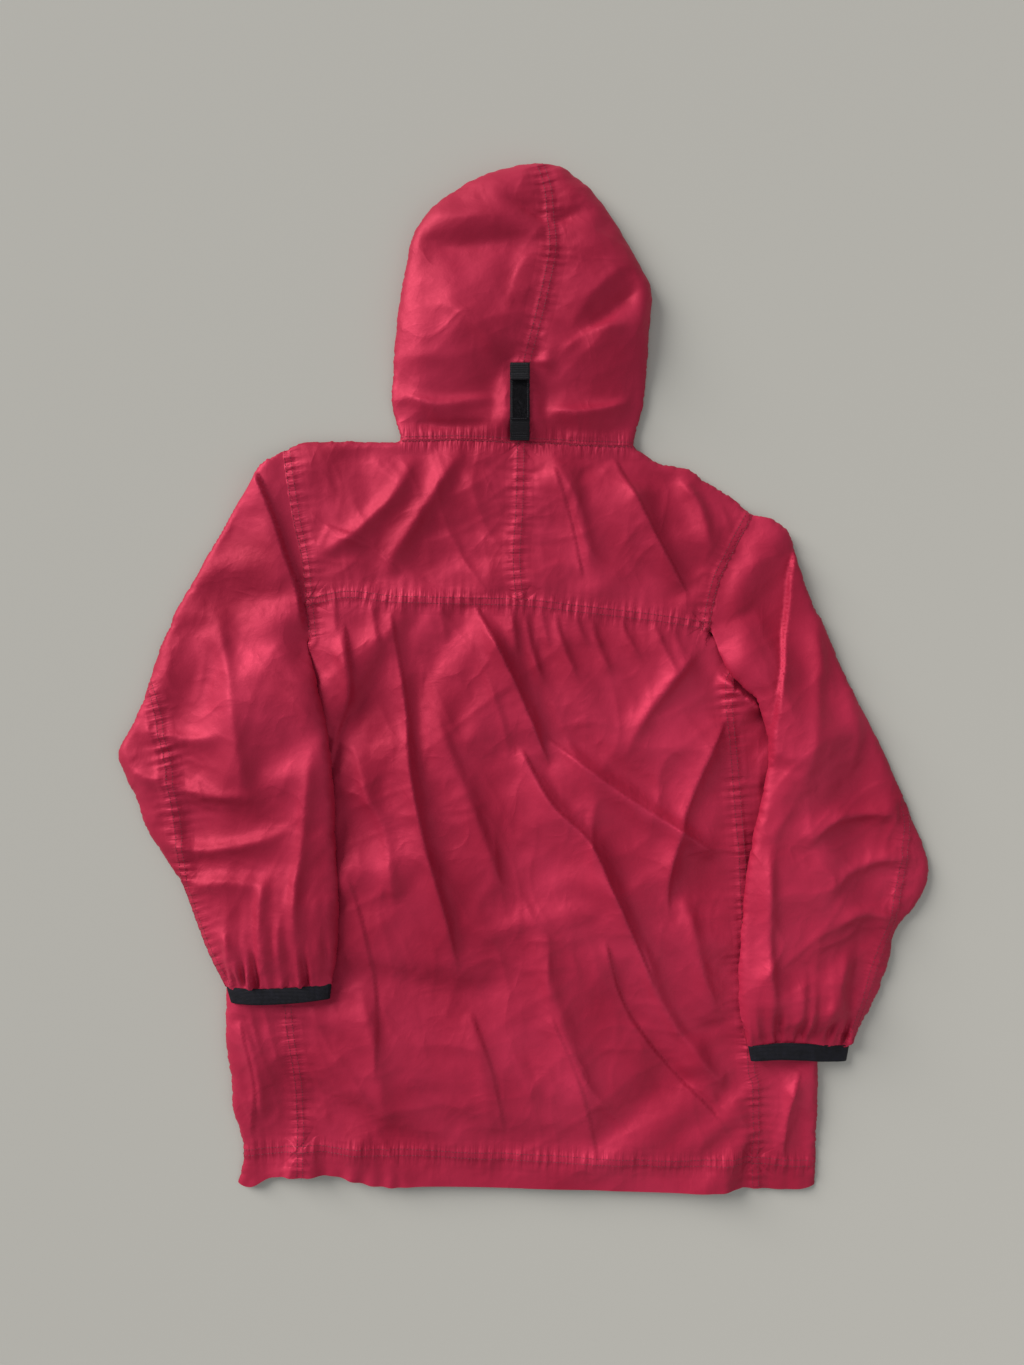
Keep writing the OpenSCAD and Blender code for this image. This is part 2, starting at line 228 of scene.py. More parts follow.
def to_line(points, line):
    """Distance to a line, length along it, and signed distance (positive to its left)."""
    best = np.full(len(points), 1e9)
    along = np.zeros(len(points))
    side = np.zeros(len(points))
    run = 0.0
    for a, b in zip(line, line[1:]):
        d = b - a
        length = max(float(np.hypot(*d)), 1e-9)
        rel = points - a
        t = np.clip((rel @ d) / length ** 2, 0, 1)
        off = rel - t[:, None] * d
        dist = np.hypot(off[:, 0], off[:, 1])
        near = dist < best
        best[near] = dist[near]
        along[near] = run + t[near] * length
        side[near] = np.sign(d[0] * rel[near, 1] - d[1] * rel[near, 0])
        run += length
    return best, along, best * side


def inside(points, polygon):
    """True for each point in the polygon."""
    x, y = points[:, 0], points[:, 1]
    hit = np.zeros(len(points), bool)
    for (x0, y0), (x1, y1) in zip(polygon, np.roll(polygon, -1, axis=0)):
        if y0 != y1:
            cross = (y0 > y) != (y1 > y)
            hit ^= cross & (x < (x1 - x0) * (y - y0) / (y1 - y0) + x0)
    return hit


def smoothstep(low, high, value):
    """0 up to low and 1 from high, with a smooth rise between; it falls where low is above high."""
    t = np.clip((value - low) / (high - low), 0, 1)
    return t * t * (3 - 2 * t)


def round_edge(distance, width):
    """0 at a folded edge, rising like a quarter circle to 1."""
    t = np.clip(distance / width, 0, 1)
    return np.sqrt(1 - (1 - t) ** 2)


def cut(outline, seams, step):
    """A flat piece of cloth in triangles, with edges along its outline and its seams."""
    loops = [outline] + list(seams)
    fixed = np.vstack(loops)
    low, high = outline.min(0), outline.max(0)
    grid = []
    rows = int((high[1] - low[1]) / (step * ROW)) + 1
    for r in range(rows):
        y = low[1] + r * step * ROW
        for c in range(int((high[0] - low[0]) / step) + 1):
            x = low[0] + (c + 0.5 * (r % 2)) * step
            grid.append((x + rng.uniform(-0.2, 0.2) * step, y + rng.uniform(-0.2, 0.2) * step))
    grid = np.array(grid)
    grid = grid[inside(grid, outline)]
    for line in [np.vstack([outline, outline[:1]])] + list(seams):
        grid = grid[to_line(grid, line)[0] > 0.62 * min(step, 2 * STEP)]
    points = [Vector(p) for p in fixed] + [Vector(p) for p in grid]
    edges = []
    first = 0
    for k, loop in enumerate(loops):
        edges += [(first + i, first + i + 1) for i in range(len(loop) - 1)]
        if k == 0:
            edges.append((first + len(loop) - 1, first))
        first += len(loop)
    verts, _, faces, _, _, _ = geometry.delaunay_2d_cdt(points, edges, [], 0, 1e-3)
    verts = np.array([v[:] for v in verts])
    faces = np.array([f for f in faces if len(f) == 3])
    middles = verts[faces].mean(1)
    return verts, faces[inside(middles, outline)]


def joined(*lines):
    """One closed outline from lines that meet end to end."""
    return np.vstack([line[:-1] for line in lines])


# Edges of the body, shared with the pieces sewn to them.
hem_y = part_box("back_panel")[0].y / MM
hem_line = smooth_line([(-299, hem_y + 8), (-286, hem_y + 4), (-262, hem_y + 14), (-232, hem_y + 11),
                        (-197, hem_y + 15), (-146, hem_y + 7), (-80, hem_y + 9), (37, hem_y + 7),
                        (120, hem_y + 3), (207, hem_y + 1), (281, hem_y + 1), (303, hem_y + 5)])
right_fold = smooth_line([(303, hem_y + 5), (304, -444), (303, -400), (299, -340), (302, -200), (300, -70)])
right_underarm = smooth_line([(300, -70), (262, -22), (232, 14), (208, 36), (190, 47)])
right_armhole = smooth_line([(190, 47), (199, 94), (213, 126), (236, 167)])
right_shoulder = smooth_line([(236, 167), (213, 187), (188, 202), (167, 216), (141, 221), (113, 238)])
neck = smooth_line([(113, 238), (60, 239), (0, 241), (-60, 243), (-129, 243)])
left_shoulder = smooth_line([(-129, 243), (-180, 244), (-227, 243), (-249, 233)])
left_armhole = smooth_line([(-249, 233), (-239, 163), (-230, 121), (-227, 80), (-222, 38)])
left_underarm = smooth_line([(-222, 38), (-246, 24), (-276, -8), (-300, -66)])
left_fold = smooth_line([(-300, -66), (-304, -200), (-309, -359), (-304, -420), (-303, -446),
                         (-296, -470), (-293, -493), (-299, hem_y + 8)])
body_outline = joined(hem_line, right_fold, right_underarm, right_armhole, right_shoulder, neck,
                      left_shoulder, left_armhole, left_underarm, left_fold)

# Seams on the back.
yoke_seam = smooth_line([(-227, 80), (-181, 88), (-135, 82), (-98, 80), (-7, 77), (37, 74), (120, 66),
                         (193, 56)])
centre_seam = smooth_line([(-5, 241), (-7, 170), (-10, 120), (-7, 77)])
left_side_seam = smooth_line([(-262, -30), (-246, -120), (-243, -220), (-244, -335), (-243, -363),
                              (-237, -407), (-235, -442), (-235, hem_y + 11)])
right_side_seam = smooth_line([(212, 0), (219, -90), (225, -179), (230, -290), (234, -400), (239, -425),
                               (243, hem_y + 1)])
# Seam ends are moved onto the outline's own points, so that no sliver is left.


def pinned_to(line, outline, ends=(0, -1)):
    """Moves a line's ends onto the outline's nearest points."""
    for end in ends:
        line[end] = outline[np.argmin(np.hypot(*(outline - line[end]).T))]


for line in (yoke_seam, left_side_seam, right_side_seam):
    pinned_to(line, body_outline)
pinned_to(centre_seam, body_outline, (0,))
pinned_to(centre_seam, yoke_seam, (-1,))

# Sleeves: outer fold, inner fold and cuff line.
left_cuff = smooth_line([(-195, -316), (-250, -318), (-307, -320)])
left_inner = smooth_line([(-222, 38), (-203, -36), (-194, -100), (-190, -187), (-187, -256), (-195, -316)])
left_outer = smooth_line([(-307, -320), (-328, -280), (-339, -252), (-352, -219), (-372, -187), (-392, -157),
                          (-401, -129), (-415, -99), (-420, -75), (-403, -42), (-391, -10), (-379, 27),
                          (-360, 70), (-338, 108), (-312, 157), (-285, 199), (-274, 219), (-249, 233)])
left_outline = joined(left_inner, left_cuff, left_outer, left_armhole)
right_cuff = smooth_line([(336, -382), (269, -375), (226, -379)])
right_inner = smooth_line([(226, -379), (218, -348), (216, -308), (219, -255), (225, -198), (236, -141),
                           (246, -80), (236, -30), (205, 5), (190, 47)])
right_outer = smooth_line([(236, 167), (255, 163), (274, 149), (283, 119), (297, 80), (310, 55), (329, 10),
                           (352, -38), (371, -75), (385, -106), (394, -126), (410, -165), (419, -197),
                           (409, -230), (384, -262), (378, -291), (367, -327), (355, -352), (336, -382)])
right_outline = joined(right_inner, right_armhole, right_outer, right_cuff)
left_sleeve_seam = smooth_line([(-391, -10), (-384, -24), (-369, -87), (-360, -139), (-355, -180),
                                (-350, -217), (-334, -264), (-307, -320)])
right_sleeve_seam = smooth_line([(394, -126), (397, -150), (391, -198), (379, -250), (367, -284),
                                 (353, -332), (336, -382)])
pinned_to(left_sleeve_seam, left_outline)
pinned_to(right_sleeve_seam, right_outline)

# Hood: outline and middle seam.
hood_left_edge = smooth_line([(13, 530), (-9, 527), (-43, 518), (-70, 503), (-98, 482), (-116, 454),
                              (-123, 423), (-131, 382), (-135, 344), (-137, 310), (-138, 281), (-129, 243)])
hood_right_edge = smooth_line([(113, 238), (124, 281), (127, 310), (130, 355), (132, 398), (124, 416),
                               (99, 461), (71, 501), (54, 515), (39, 526), (13, 530)])
hood_outline = joined(hood_left_edge, neck[::-1], hood_right_edge)
hood_seam = smooth_line([(13, 530), (23, 496), (26, 464), (28, 433), (21, 392), (11, 350), (2, 316),
                         (-5, 241)])
hood_seam[0] = hood_outline[0]
pinned_to(hood_seam, hood_outline, (-1,))

# Folds: points, height, and how far each side of the crest falls away (left, right).
body_folds = [
    ([(-139, 74), (-122, -18), (-114, -101), (-100, -171), (-78, -249), (-64, -316)], 5, 7, 18),
    ([(-52, 72), (-28, 30), (0, -27), (26, -92)], 7, 8, 20),
    ([(20, -60), (90, -112), (150, -150), (203, -185)], 6, 10, 18),
    ([(-5, -68), (28, -129), (65, -166), (87, -213), (110, -265), (128, -316)], 7, 9, 22),
    ([(80, -264), (101, -338), (143, -399), (186, -443), (203, -467)], -3, 20, 20),
    ([(112, -250), (136, -330), (176, -392), (214, -436)], 6, 12, 14),
    ([(-175, -60), (-160, -120), (-140, -170), (-130, -260)], 5, 16, 10),
    ([(95, 222), (130, 150), (165, 85)], 6, 14, 20),
    ([(-110, 236), (-130, 190), (-170, 150), (-215, 120)], 5, 12, 14),
    ([(-60, 236), (-110, 160), (-150, 100)], 4, 10, 16),
    ([(20, 236), (55, 170), (70, 95)], 4, 12, 16),
    ([(150, 212), (180, 170), (190, 110)], 4, 10, 14),
    ([(188, 40), (150, -5), (118, -50), (100, -90)], 5, 8, 16),
    ([(214, -30), (180, -100), (150, -190), (146, -250)], 5, 9, 16),
    ([(196, 2), (216, -12), (250, -40)], 8, 3, 9),
    ([(-190, 60), (-180, -10), (-176, -60)], 4, 8, 12),
    ([(-60, -330), (-40, -420), (-36, -480)], 3, 14, 18),
    ([(10, -240), (30, -330), (60, -420), (70, -490)], 4, 14, 22),
    ([(-170, -300), (-150, -390), (-140, -470)], 4, 12, 16),
    ([(160, -210), (176, -290), (200, -360)], 4, 10, 14),
    ([(-100, -10), (-70, -90), (-40, -170), (-20, -250)], 4, 9, 18),
    ([(-290, -340), (-272, -400), (-268, -470)], 4, 8, 10),
    ([(284, -400), (272, -440), (268, -500)], 3, 8, 10),
]
# Small pleats that run down from the yoke seam: start, length, sideways drift, height.
yoke_pleats = [(-14, 60, 8, 2.0), (-2, 95, 26, 2.4), (17, 48, 10, 1.4), (29, 84, 30, 2.2),
               (52, 40, 12, 1.2), (66, 70, 26, 2.0), (97, 52, 24, 1.6), (131, 66, 30, 2.0),
               (150, 38, 14, 1.2), (-86, 44, 6, 1.2), (-158, 60, 10, 1.8), (-196, 44, 4, 1.4)]
for x, length, drift, height in yoke_pleats:
    top = float(np.interp(x, yoke_seam[:, 0], yoke_seam[:, 1])) - 4
    body_folds.append(([(x, top), (x + 0.4 * drift, top - 0.5 * length), (x + drift, top - length)],
                       height, 3, 8))
# Laps: folds that have fallen over and show a sharp edge, with the raised cloth on the line's
# left: points, height, how far it takes to fall away.
body_laps = [
    ([(-64, -316), (-78, -249), (-100, -171), (-114, -101), (-122, -18), (-139, 74)], 3.2, 20),
    ([(30, -98), (0, -27), (-28, 30), (-54, 76)], 4.6, 26),
    ([(134, -326), (110, -265), (87, -213), (65, -166), (28, -129), (-5, -68)], 4.6, 30),
    ([(203, -185), (150, -150), (90, -112), (20, -60)], 3.4, 24),
    ([(206, -470), (186, -443), (143, -399), (101, -338), (80, -264)], 4.0, 28),
    ([(170, 80), (130, 150), (92, 226)], 4.2, 26),
    ([(60, 96), (48, 150), (30, 214)], 2.6, 18),
    ([(146, -250), (150, -190), (180, -100), (210, -36)], 3.0, 22),
    ([(-222, -180), (-206, -120), (-190, -60), (-176, -10), (-186, 60)], 3.4, 20),
    ([(-150, -420), (-150, -340), (-160, -270), (-180, -200)], 2.6, 22),
    ([(-282, -476), (-276, -420), (-288, -350)], 3.0, 14),
    ([(268, -500), (270, -450), (282, -402)], 2.6, 12),
    ([(-20, -470), (-34, -400), (-56, -340)], 2.2, 24),
    ([(74, -500), (56, -420), (24, -340)], 2.6, 26),
    ([(-124, 104), (-160, 136), (-206, 158)], 2.2, 22),
]
left_folds = [
    ([(-320, 80), (-300, 0), (-286, -90), (-276, -150)], 5, 12, 20),
    ([(-415, -92), (-370, -106), (-320, -120), (-262, -118)], 5, 9, 12),
    ([(-402, -50), (-350, -62), (-300, -60)], 4, 8, 14),
    ([(-388, -165), (-330, -176), (-270, -166), (-230, -150)], 5, 8, 12),
    ([(-352, -215), (-300, -208), (-250, -214)], 3, 8, 12),
    ([(-215, -60), (-222, -140), (-232, -230), (-226, -296)], 5, 10, 14),
    ([(-262, -190), (-268, -250), (-262, -308)], 4, 9, 9),
    ([(-310, -250), (-296, -280), (-288, -312)], 3, 7, 9),
]
right_folds = [
    ([(296, 90), (300, 20), (290, -60), (280, -130)], 4, 14, 18),
    ([(412, -190), (370, -186), (330, -200), (300, -230)], 5, 8, 12),
    ([(396, -140), (350, -140), (310, -150), (276, -180)], 4, 8, 13),
    ([(384, -250), (345, -240), (310, -252)], 4, 8, 10),
    ([(250, -160), (246, -230), (248, -300), (256, -360)], 5, 9, 13),
    ([(330, -270), (318, -320), (310, -366)], 4, 8, 10),
    ([(286, -290), (280, -330), (282, -368)], 3, 7, 9),
    ([(330, 0), (340, -50), (330, -110)], 3, 10, 16),
]
# Each sleeve lies folded over its own armhole: the edge of that lap, with the cloth on its left.
left_lap = [(-221, 38), (-232, 85), (-244, 126), (-256, 164), (-272, 204), (-276, 214)]
right_lap = [(279, 142), (271, 106), (269, 73), (262, 24), (255, -17), (251, -45), (244, -93)]
hood_folds = [
    ([(-116, 446), (-70, 436), (-5, 440), (20, 426)], -4, 16, 34),
    ([(128, 402), (100, 384), (60, 345), (34, 318)], -8, 14, 34),
    ([(120, 424), (86, 404), (54, 366), (40, 339)], 2, 9, 12),
    ([(-112, 470), (-60, 462), (-20, 470)], 2, 16, 18),
    ([(-25, 488), (10, 470), (30, 462), (66, 474)], -3, 9, 9),
    ([(-130, 330), (-80, 322), (-30, 330)], 1.5, 16, 16),
    ([(-134, 290), (-90, 278), (-40, 282), (-18, 276)], 3.5, 7, 12),
    ([(-126, 262), (-80, 256), (-26, 258)], -4, 7, 7),
    ([(16, 272), (60, 268), (120, 282)], 5, 9, 9),
    ([(20, 254), (70, 250), (112, 256)], -3, 6, 6),
    ([(-20, 316), (-60, 360), (-100, 380)], 2.5, 9, 18),
    ([(30, 318), (70, 350), (110, 352)], 4, 8, 12),
    ([(-25, 317), (5, 319), (37, 317)], 3, 4, 5),
]


def fold_height(points, folds):
    """The height that a list of folds adds at each point."""
    total = np.zeros(len(points))
    for line, height, left, right in folds:
        line = smooth_line(line, 8)
        distance, along, signed = to_line(points, line)
        length = np.hypot(*np.diff(line, axis=0).T).sum()
        width = np.where(signed > 0, left, right)
        crest = np.exp(-(np.sqrt((distance / width) ** 2 + 0.09) - 0.3) * 1.6)
        ends = smoothstep(0, 0.3, along / length) * smoothstep(0, 0.3, 1 - along / length)
        total += height * crest * ends * (1 + 0.15 * np.sin(along / 23))
    return total


def step_height(points, line, rise, reach):
    """A fold lying on the cloth: a sharp step up to the line's left that falls away with distance."""
    line = smooth_line(line, 8)
    distance, along, signed = to_line(points, line)
    length = np.hypot(*np.diff(line, axis=0).T).sum()
    ends = smoothstep(0, 0.14, along / length) * smoothstep(0, 0.08, 1 - along / length)
    return rise * ends * smoothstep(-1.6, 1.6, signed) * np.exp(-np.maximum(signed, 0) / reach)


def waves(points, length, seed, octaves=2):
    """Smooth random heights, about 1 mm either way, of that wavelength."""
    return np.array([noise.fractal((x / length, y / length, seed), 0.8, 2.1, octaves)
                     for x, y in points])


def creases(points, length, seed, lean, stretch=2.6):
    """Crisp creases up to 1 mm high, drawn out along the way that the cloth leans."""
    c, d = math.cos(lean), math.sin(lean)
    along = (points @ (c, d)) / stretch
    across = points @ (-d, c)
    bend = waves(points, length * 3, seed + 3, 1) * length
    ridge = 1 - np.abs(waves(np.column_stack([along + bend, across + bend]), length, seed, 2) - 0.15) * 3.0
    return np.maximum(ridge, 0) ** 1.5


def edge_ripple(points, line, pitch, reach, seed):
    """Short gathers that run away from a gathered or puckered line."""
    distance, along, _ = to_line(points, line)
    wobble = waves(np.column_stack([along, along * 0]), 40, seed) * 6
    return np.cos(2 * math.pi * (along + wobble) / pitch) * np.exp(-distance / reach)


def body_height(points):
    """Height of the back's cloth above the floor."""
    sides = np.minimum(to_line(points, left_fold)[0], to_line(points, right_fold)[0])
    shoulders = np.minimum(to_line(points, left_shoulder)[0], to_line(points, right_shoulder)[0])
    z = 3 + 9 * round_edge(sides, 16) * round_edge(shoulders + 3, 16)
    edge = smoothstep(0, 25, np.minimum(sides, shoulders))
    z += edge * (fold_height(points, body_folds) + 3.5 * waves(points, 150, 3))
    x = points[:, 0]
    gathered = smoothstep(-300, -270, x) * smoothstep(-90, -150, x) + 0.35 * smoothstep(150, 200, x)
    z += 2.6 * gathered * edge_ripple(points, hem_line, 21, 26, 5) * (0.6 + 0.8 * waves(points, 30, 8, 1))
    return z


def signed_inside(points, outline):
    """Distance to an outline, positive inside it."""
    distance = to_line(points, np.vstack([outline, outline[:1]]))[0]
    return np.where(inside(points, outline), distance, -distance)


def sleeve_height(points, armhole, inner, outer, cuff, folds, seed, top):
    """Height of a sleeve's upper cloth, or of its under cloth where top is false."""
    to_body = signed_inside(points, body_outline)
    if top:
        base = 14 * smoothstep(-50, 6, to_body)
    else:
        base = smoothstep(-14, 10, to_body) * (body_height(points) + 1.5)
    to_armhole = to_line(points, armhole)[0]
    edges = np.minimum(to_line(points, inner)[0], to_line(points, outer)[0])
    z = base + 3
    if top:
        full = 11 + 3 * waves(points, 120, seed)
        edge = smoothstep(0, 22, edges)
        to_cuff, _, _ = to_line(points, cuff)
        full -= 4 * smoothstep(45, 0, to_cuff)
        z += full * round_edge(edges, 24)
        z += edge * fold_height(points, folds)
        gather = edge_ripple(points, cuff, 17, 30, seed + 1) * smoothstep(4, 26, edges)
        z += 3.2 * gather * smoothstep(0, 10, to_cuff) * (0.9 + 0.9 * waves(points, 26, seed + 2, 1))
    seam_z = body_height(points)
    return seam_z + (z - seam_z) * smoothstep(0, 50, to_armhole)


def hood_height(points, top):
    """Height of the hood's upper cloth, or of its under cloth where top is false."""
    edges = np.minimum(to_line(points, hood_left_edge)[0], to_line(points, hood_right_edge)[0])
    to_neck = to_line(points, neck)[0]
    if not top:
        return 0.8 + 2.2 * smoothstep(14, 0, edges) + 2 * smoothstep(10, 0, to_neck)
    rise = 0.42 + 0.58 * smoothstep(270, 365, points[:, 1])
    dome = 3 + 33 * rise * round_edge(edges, 78)
    dome += smoothstep(0, 30, edges) * (fold_height(points, hood_folds) + 1.2 * waves(points, 120, 9))
    z = 12 + (dome - 12) * smoothstep(0, 22, to_neck)
    seat = smoothstep(30, 13, np.abs(points[:, 0] + 5)) * smoothstep(246, 266, points[:, 1])
    seat *= smoothstep(340, 318, points[:, 1])
    return z + (23.2 - z) * seat


# The cut panels. A triangle's label is its panel's place in this list, and -1 is an opening.
PANELS = ["back_panel", "back_yoke_left", "back_yoke_right", "front_panel_left", "front_panel_right",
          "sleeve_upper_left", "sleeve_under_left", "sleeve_upper_right", "sleeve_under_right",
          "hood_panel_left", "hood_panel_right"]
layers = []


def add_layer(outline, seams, step, heights, labels, down=False):
    """Cuts one layer of cloth, and keeps it with its heights and its panels' labels."""
    verts, faces = cut(outline, seams, step)
    a, b, c = (verts[faces[:, k]] for k in (0, 1, 2))
    area = (b[:, 0] - a[:, 0]) * (c[:, 1] - a[:, 1]) - (b[:, 1] - a[:, 1]) * (c[:, 0] - a[:, 0])
    flip = (area < 0) != down
    faces[flip] = faces[flip][:, ::-1]
    layers.append((verts, faces, heights(verts), labels(verts[faces].mean(1)), down))


def body_labels(p):
    """The back's panels: which side of the yoke, middle and side seams a place is on."""
    label = np.zeros(len(p), int)
    above = p[:, 1] > np.interp(p[:, 0], yoke_seam[:, 0], yoke_seam[:, 1])
    in_middle = p[:, 0] < np.interp(p[:, 1], centre_seam[::-1, 1], centre_seam[::-1, 0])
    label[above & in_middle] = 1
    label[above & ~in_middle] = 2
    low_left = ~above & (p[:, 0] < np.interp(p[:, 1], left_side_seam[::-1, 1], left_side_seam[::-1, 0]))
    low_right = ~above & (p[:, 0] > np.interp(p[:, 1], right_side_seam[::-1, 1], right_side_seam[::-1, 0]))
    label[low_left & (p[:, 1] < left_side_seam[0, 1])] = 3
    label[low_right & (p[:, 1] < right_side_seam[0, 1])] = 4
    return label


add_layer(body_outline, [yoke_seam, centre_seam, left_side_seam, right_side_seam], STEP, body_height,
          body_labels)
sleeve_parts = [
    (left_outline, left_armhole, left_inner, left_outer, left_cuff, left_folds, 21, left_sleeve_seam, 5),
    (right_outline, right_armhole, right_inner, right_outer, right_cuff, right_folds, 31,
     right_sleeve_seam, 7),
]
for outline, armhole, inner, outer, cuff, folds, seed, seam, first in sleeve_parts:
    x_side = -1 if first == 5 else 1
    add_layer(outline, [seam], STEP,
              lambda p: sleeve_height(p, armhole, inner, outer, cuff, folds, seed, True),
              lambda p: np.where((p[:, 1] < seam[:, 1].max()) & (x_side * p[:, 0] > x_side * np.interp(
                  p[:, 1], seam[::-1, 1], seam[::-1, 0])), first + 1, first))
    add_layer(outline, [], 3.2 * STEP,
              lambda p: sleeve_height(p, armhole, inner, outer, cuff, folds, seed, False),
              lambda p: np.full(len(p), first + 1), down=True)
add_layer(hood_outline, [hood_seam], STEP, lambda p: hood_height(p, True),
          lambda p: np.where(p[:, 0] < np.interp(p[:, 1], hood_seam[::-1, 1], hood_seam[::-1, 0]), 9, 10))

# The cloth underneath: two front panels with the zip's gap and the neck opening between
# them, and the hood's two sides with the face opening between them.
zip_half = 9
zip_left = np.array([(-zip_half, hem_y - 5), (-zip_half, 176), (-52, 250)], float)
zip_right = np.array([(zip_half, hem_y - 5), (zip_half, 176), (52, 250)], float)
zip_left = np.vstack([smooth_line(zip_left[:2], 10), smooth_line(zip_left[1:], 6)[1:]])
zip_right = np.vstack([smooth_line(zip_right[:2], 10), smooth_line(zip_right[1:], 6)[1:]])
face_round = [(-8 + 40 * math.sin(a), 415 + 40 * math.cos(a)) for a in np.linspace(-1.5, 1.5, 9)]
face_edge = smooth_line([(-52, 252), (-50, 330)] + face_round + [(34, 330), (44, 252)], 6)
face_edge = np.vstack([[(-52, 236)], face_edge, [(44, 236)]])


def front_height(p):
    """Height of the two fronts, which lie nearly flat under the back."""
    sides = np.minimum(to_line(p, left_fold)[0], to_line(p, right_fold)[0])
    shoulders = np.minimum(to_line(p, left_shoulder)[0], to_line(p, right_shoulder)[0])
    z = 0.7 + 2.3 * smoothstep(14, 0, sides) + 2.3 * smoothstep(14, 0, shoulders)
    return z + 3.4 * smoothstep(34, 14, np.abs(p[:, 0])) + 0.5 * waves(p, 90, 12)


def front_labels(p):
    """The two fronts, with the zip's gap and the neck opening between them."""
    gap_right = np.interp(p[:, 1], zip_right[:, 1], zip_right[:, 0])
    return np.where(np.abs(p[:, 0]) < gap_right, -1, np.where(p[:, 0] < 0, 3, 4))


def face_labels(p):
    """The hood's two under sides, with the face opening between them."""
    return np.where(inside(p, face_edge), -1, np.where(p[:, 0] < -4, 9, 10))


add_layer(body_outline, [zip_left, zip_right], 3.2 * STEP, front_height, front_labels, down=True)
add_layer(hood_outline, [face_edge], 2.4 * STEP, lambda p: hood_height(p, False), face_labels, down=True)
BODY, LEFT, LEFT_UNDER, RIGHT, RIGHT_UNDER, HOOD, FRONT, HOOD_UNDER = range(8)

# All layers go into one list of points, and the points that two pieces share are sewn.
starts = np.cumsum([0] + [len(layer[0]) for layer in layers])
plan = np.vstack([layer[0] for layer in layers])
height = np.concatenate([layer[2] for layer in layers])
same = np.arange(len(plan))
lookup = [{(round(x, 1), round(y, 1)): starts[k] + i for i, (x, y) in enumerate(layer[0])}
          for k, layer in enumerate(layers)]


def sew(line, *which):
    """Makes one point of those that the named layers have at each point of a line."""
    for x, y in line:
        found = [lookup[k].get((round(x, 1), round(y, 1))) for k in which]
        found = [same[i] for i in found if i is not None]
        for i in found[1:]:
            same[same == i] = found[0]


for line in (left_fold, right_fold, left_shoulder, right_shoulder, left_underarm, right_underarm):
    sew(line, BODY, FRONT)
sew(neck, BODY, HOOD)
sew(neck, FRONT, HOOD_UNDER)
sew(left_armhole, BODY, LEFT)
sew(left_armhole, FRONT, LEFT_UNDER)
sew(right_armhole, BODY, RIGHT)
sew(right_armhole, FRONT, RIGHT_UNDER)
for line in (left_inner[1:], left_outer):
    sew(line, LEFT, LEFT_UNDER)
for line in (right_inner[:-1], right_outer):
    sew(line, RIGHT, RIGHT_UNDER)
for line in (hood_left_edge, hood_right_edge):
    sew(line, HOOD, HOOD_UNDER)

kept, index = np.unique(same, return_inverse=True)
total = np.bincount(index, height) / np.bincount(index)
skin_points = np.column_stack([plan[kept], total])
skin_faces = np.vstack([index[layer[1] + starts[k]] for k, layer in enumerate(layers)])
skin_layer = np.concatenate([np.full(len(layer[1]), k) for k, layer in enumerate(layers)])
skin_panel = np.concatenate([layer[3] for layer in layers])
shown = skin_panel >= 0
skin_faces, skin_layer, skin_panel = skin_faces[shown], skin_layer[shown], skin_panel[shown]
used, again = np.unique(skin_faces, return_inverse=True)
skin_points, skin_faces = skin_points[used], again.reshape(-1, 3)


def new_piece(name, points, faces, material, numbers=None):
    """A smooth mesh object from points in millimetres."""
    mesh = bpy.data.meshes.new(name)
    mesh.from_pydata([tuple(p) for p in np.asarray(points) * MM], [],
                     [tuple(int(i) for i in f) for f in faces])
    mesh.materials.append(material)
    mesh.polygons.foreach_set("use_smooth", [True] * len(mesh.polygons))
    if numbers is not None:
        mesh.polygons.foreach_set("material_index", numbers)
    mesh.update()
    piece = bpy.data.objects.new(name, mesh)
    bpy.context.collection.objects.link(piece)
    return piece


plan_points = skin_points.copy()
skin = new_piece("skin", skin_points, skin_faces, taffeta, skin_layer * 16 + skin_panel)

# The simulation. Cloth is a little larger than its place and seams are a little shorter, so
# that the panels buckle softly between the seams, as worn-in taffeta does.
LAST_FRAME = 30
FURTHEST = 7.0  # the most that a point may move, in millimetres
top_layers = (BODY, LEFT, RIGHT, HOOD)
free = np.zeros(len(skin_points), bool)
free[skin_faces[np.isin(skin_layer, top_layers)].ravel()] = True
free[skin_faces[~np.isin(skin_layer, top_layers)].ravel()] = False
xy = skin_points[:, :2]
layer_of = np.full(len(skin_points), -1)
for k in range(8):
    layer_of[skin_faces[skin_layer == k].ravel()] = k
seams_of = {
    BODY: [yoke_seam, centre_seam, left_side_seam, right_side_seam, left_armhole, right_armhole, neck],
    LEFT: [left_sleeve_seam, left_armhole, left_cuff],
    RIGHT: [right_sleeve_seam, right_armhole, right_cuff],
    HOOD: [hood_seam, neck],
}
tight = np.zeros(len(skin_points))
for k, lines in seams_of.items():
    mask = layer_of == k
    near = np.min([to_line(xy[mask], line)[0] for line in lines], axis=0)
    tight[mask] = smoothstep(9, 2, near)
hold = np.where(free, 0.08, 1.0)  # the under layers stay still, and the top ones are held lightly
sides = np.vstack([skin_faces[:, [0, 1]], skin_faces[:, [1, 2]], skin_faces[:, [2, 0]]])
sides = np.vstack([sides, sides[:, ::-1]])
near_count = np.bincount(sides[:, 0], minlength=len(skin_points))[:, None]


def evened(values, times, share=0.6):
    """Values at the skin's points, moved towards the average of their neighbours."""
    for _ in range(times):
        mean = np.column_stack([np.bincount(sides[:, 0], values[sides[:, 1], k], len(values))
                                for k in range(values.shape[1])]) / near_count
        values = values + share * (mean - values)
    return values


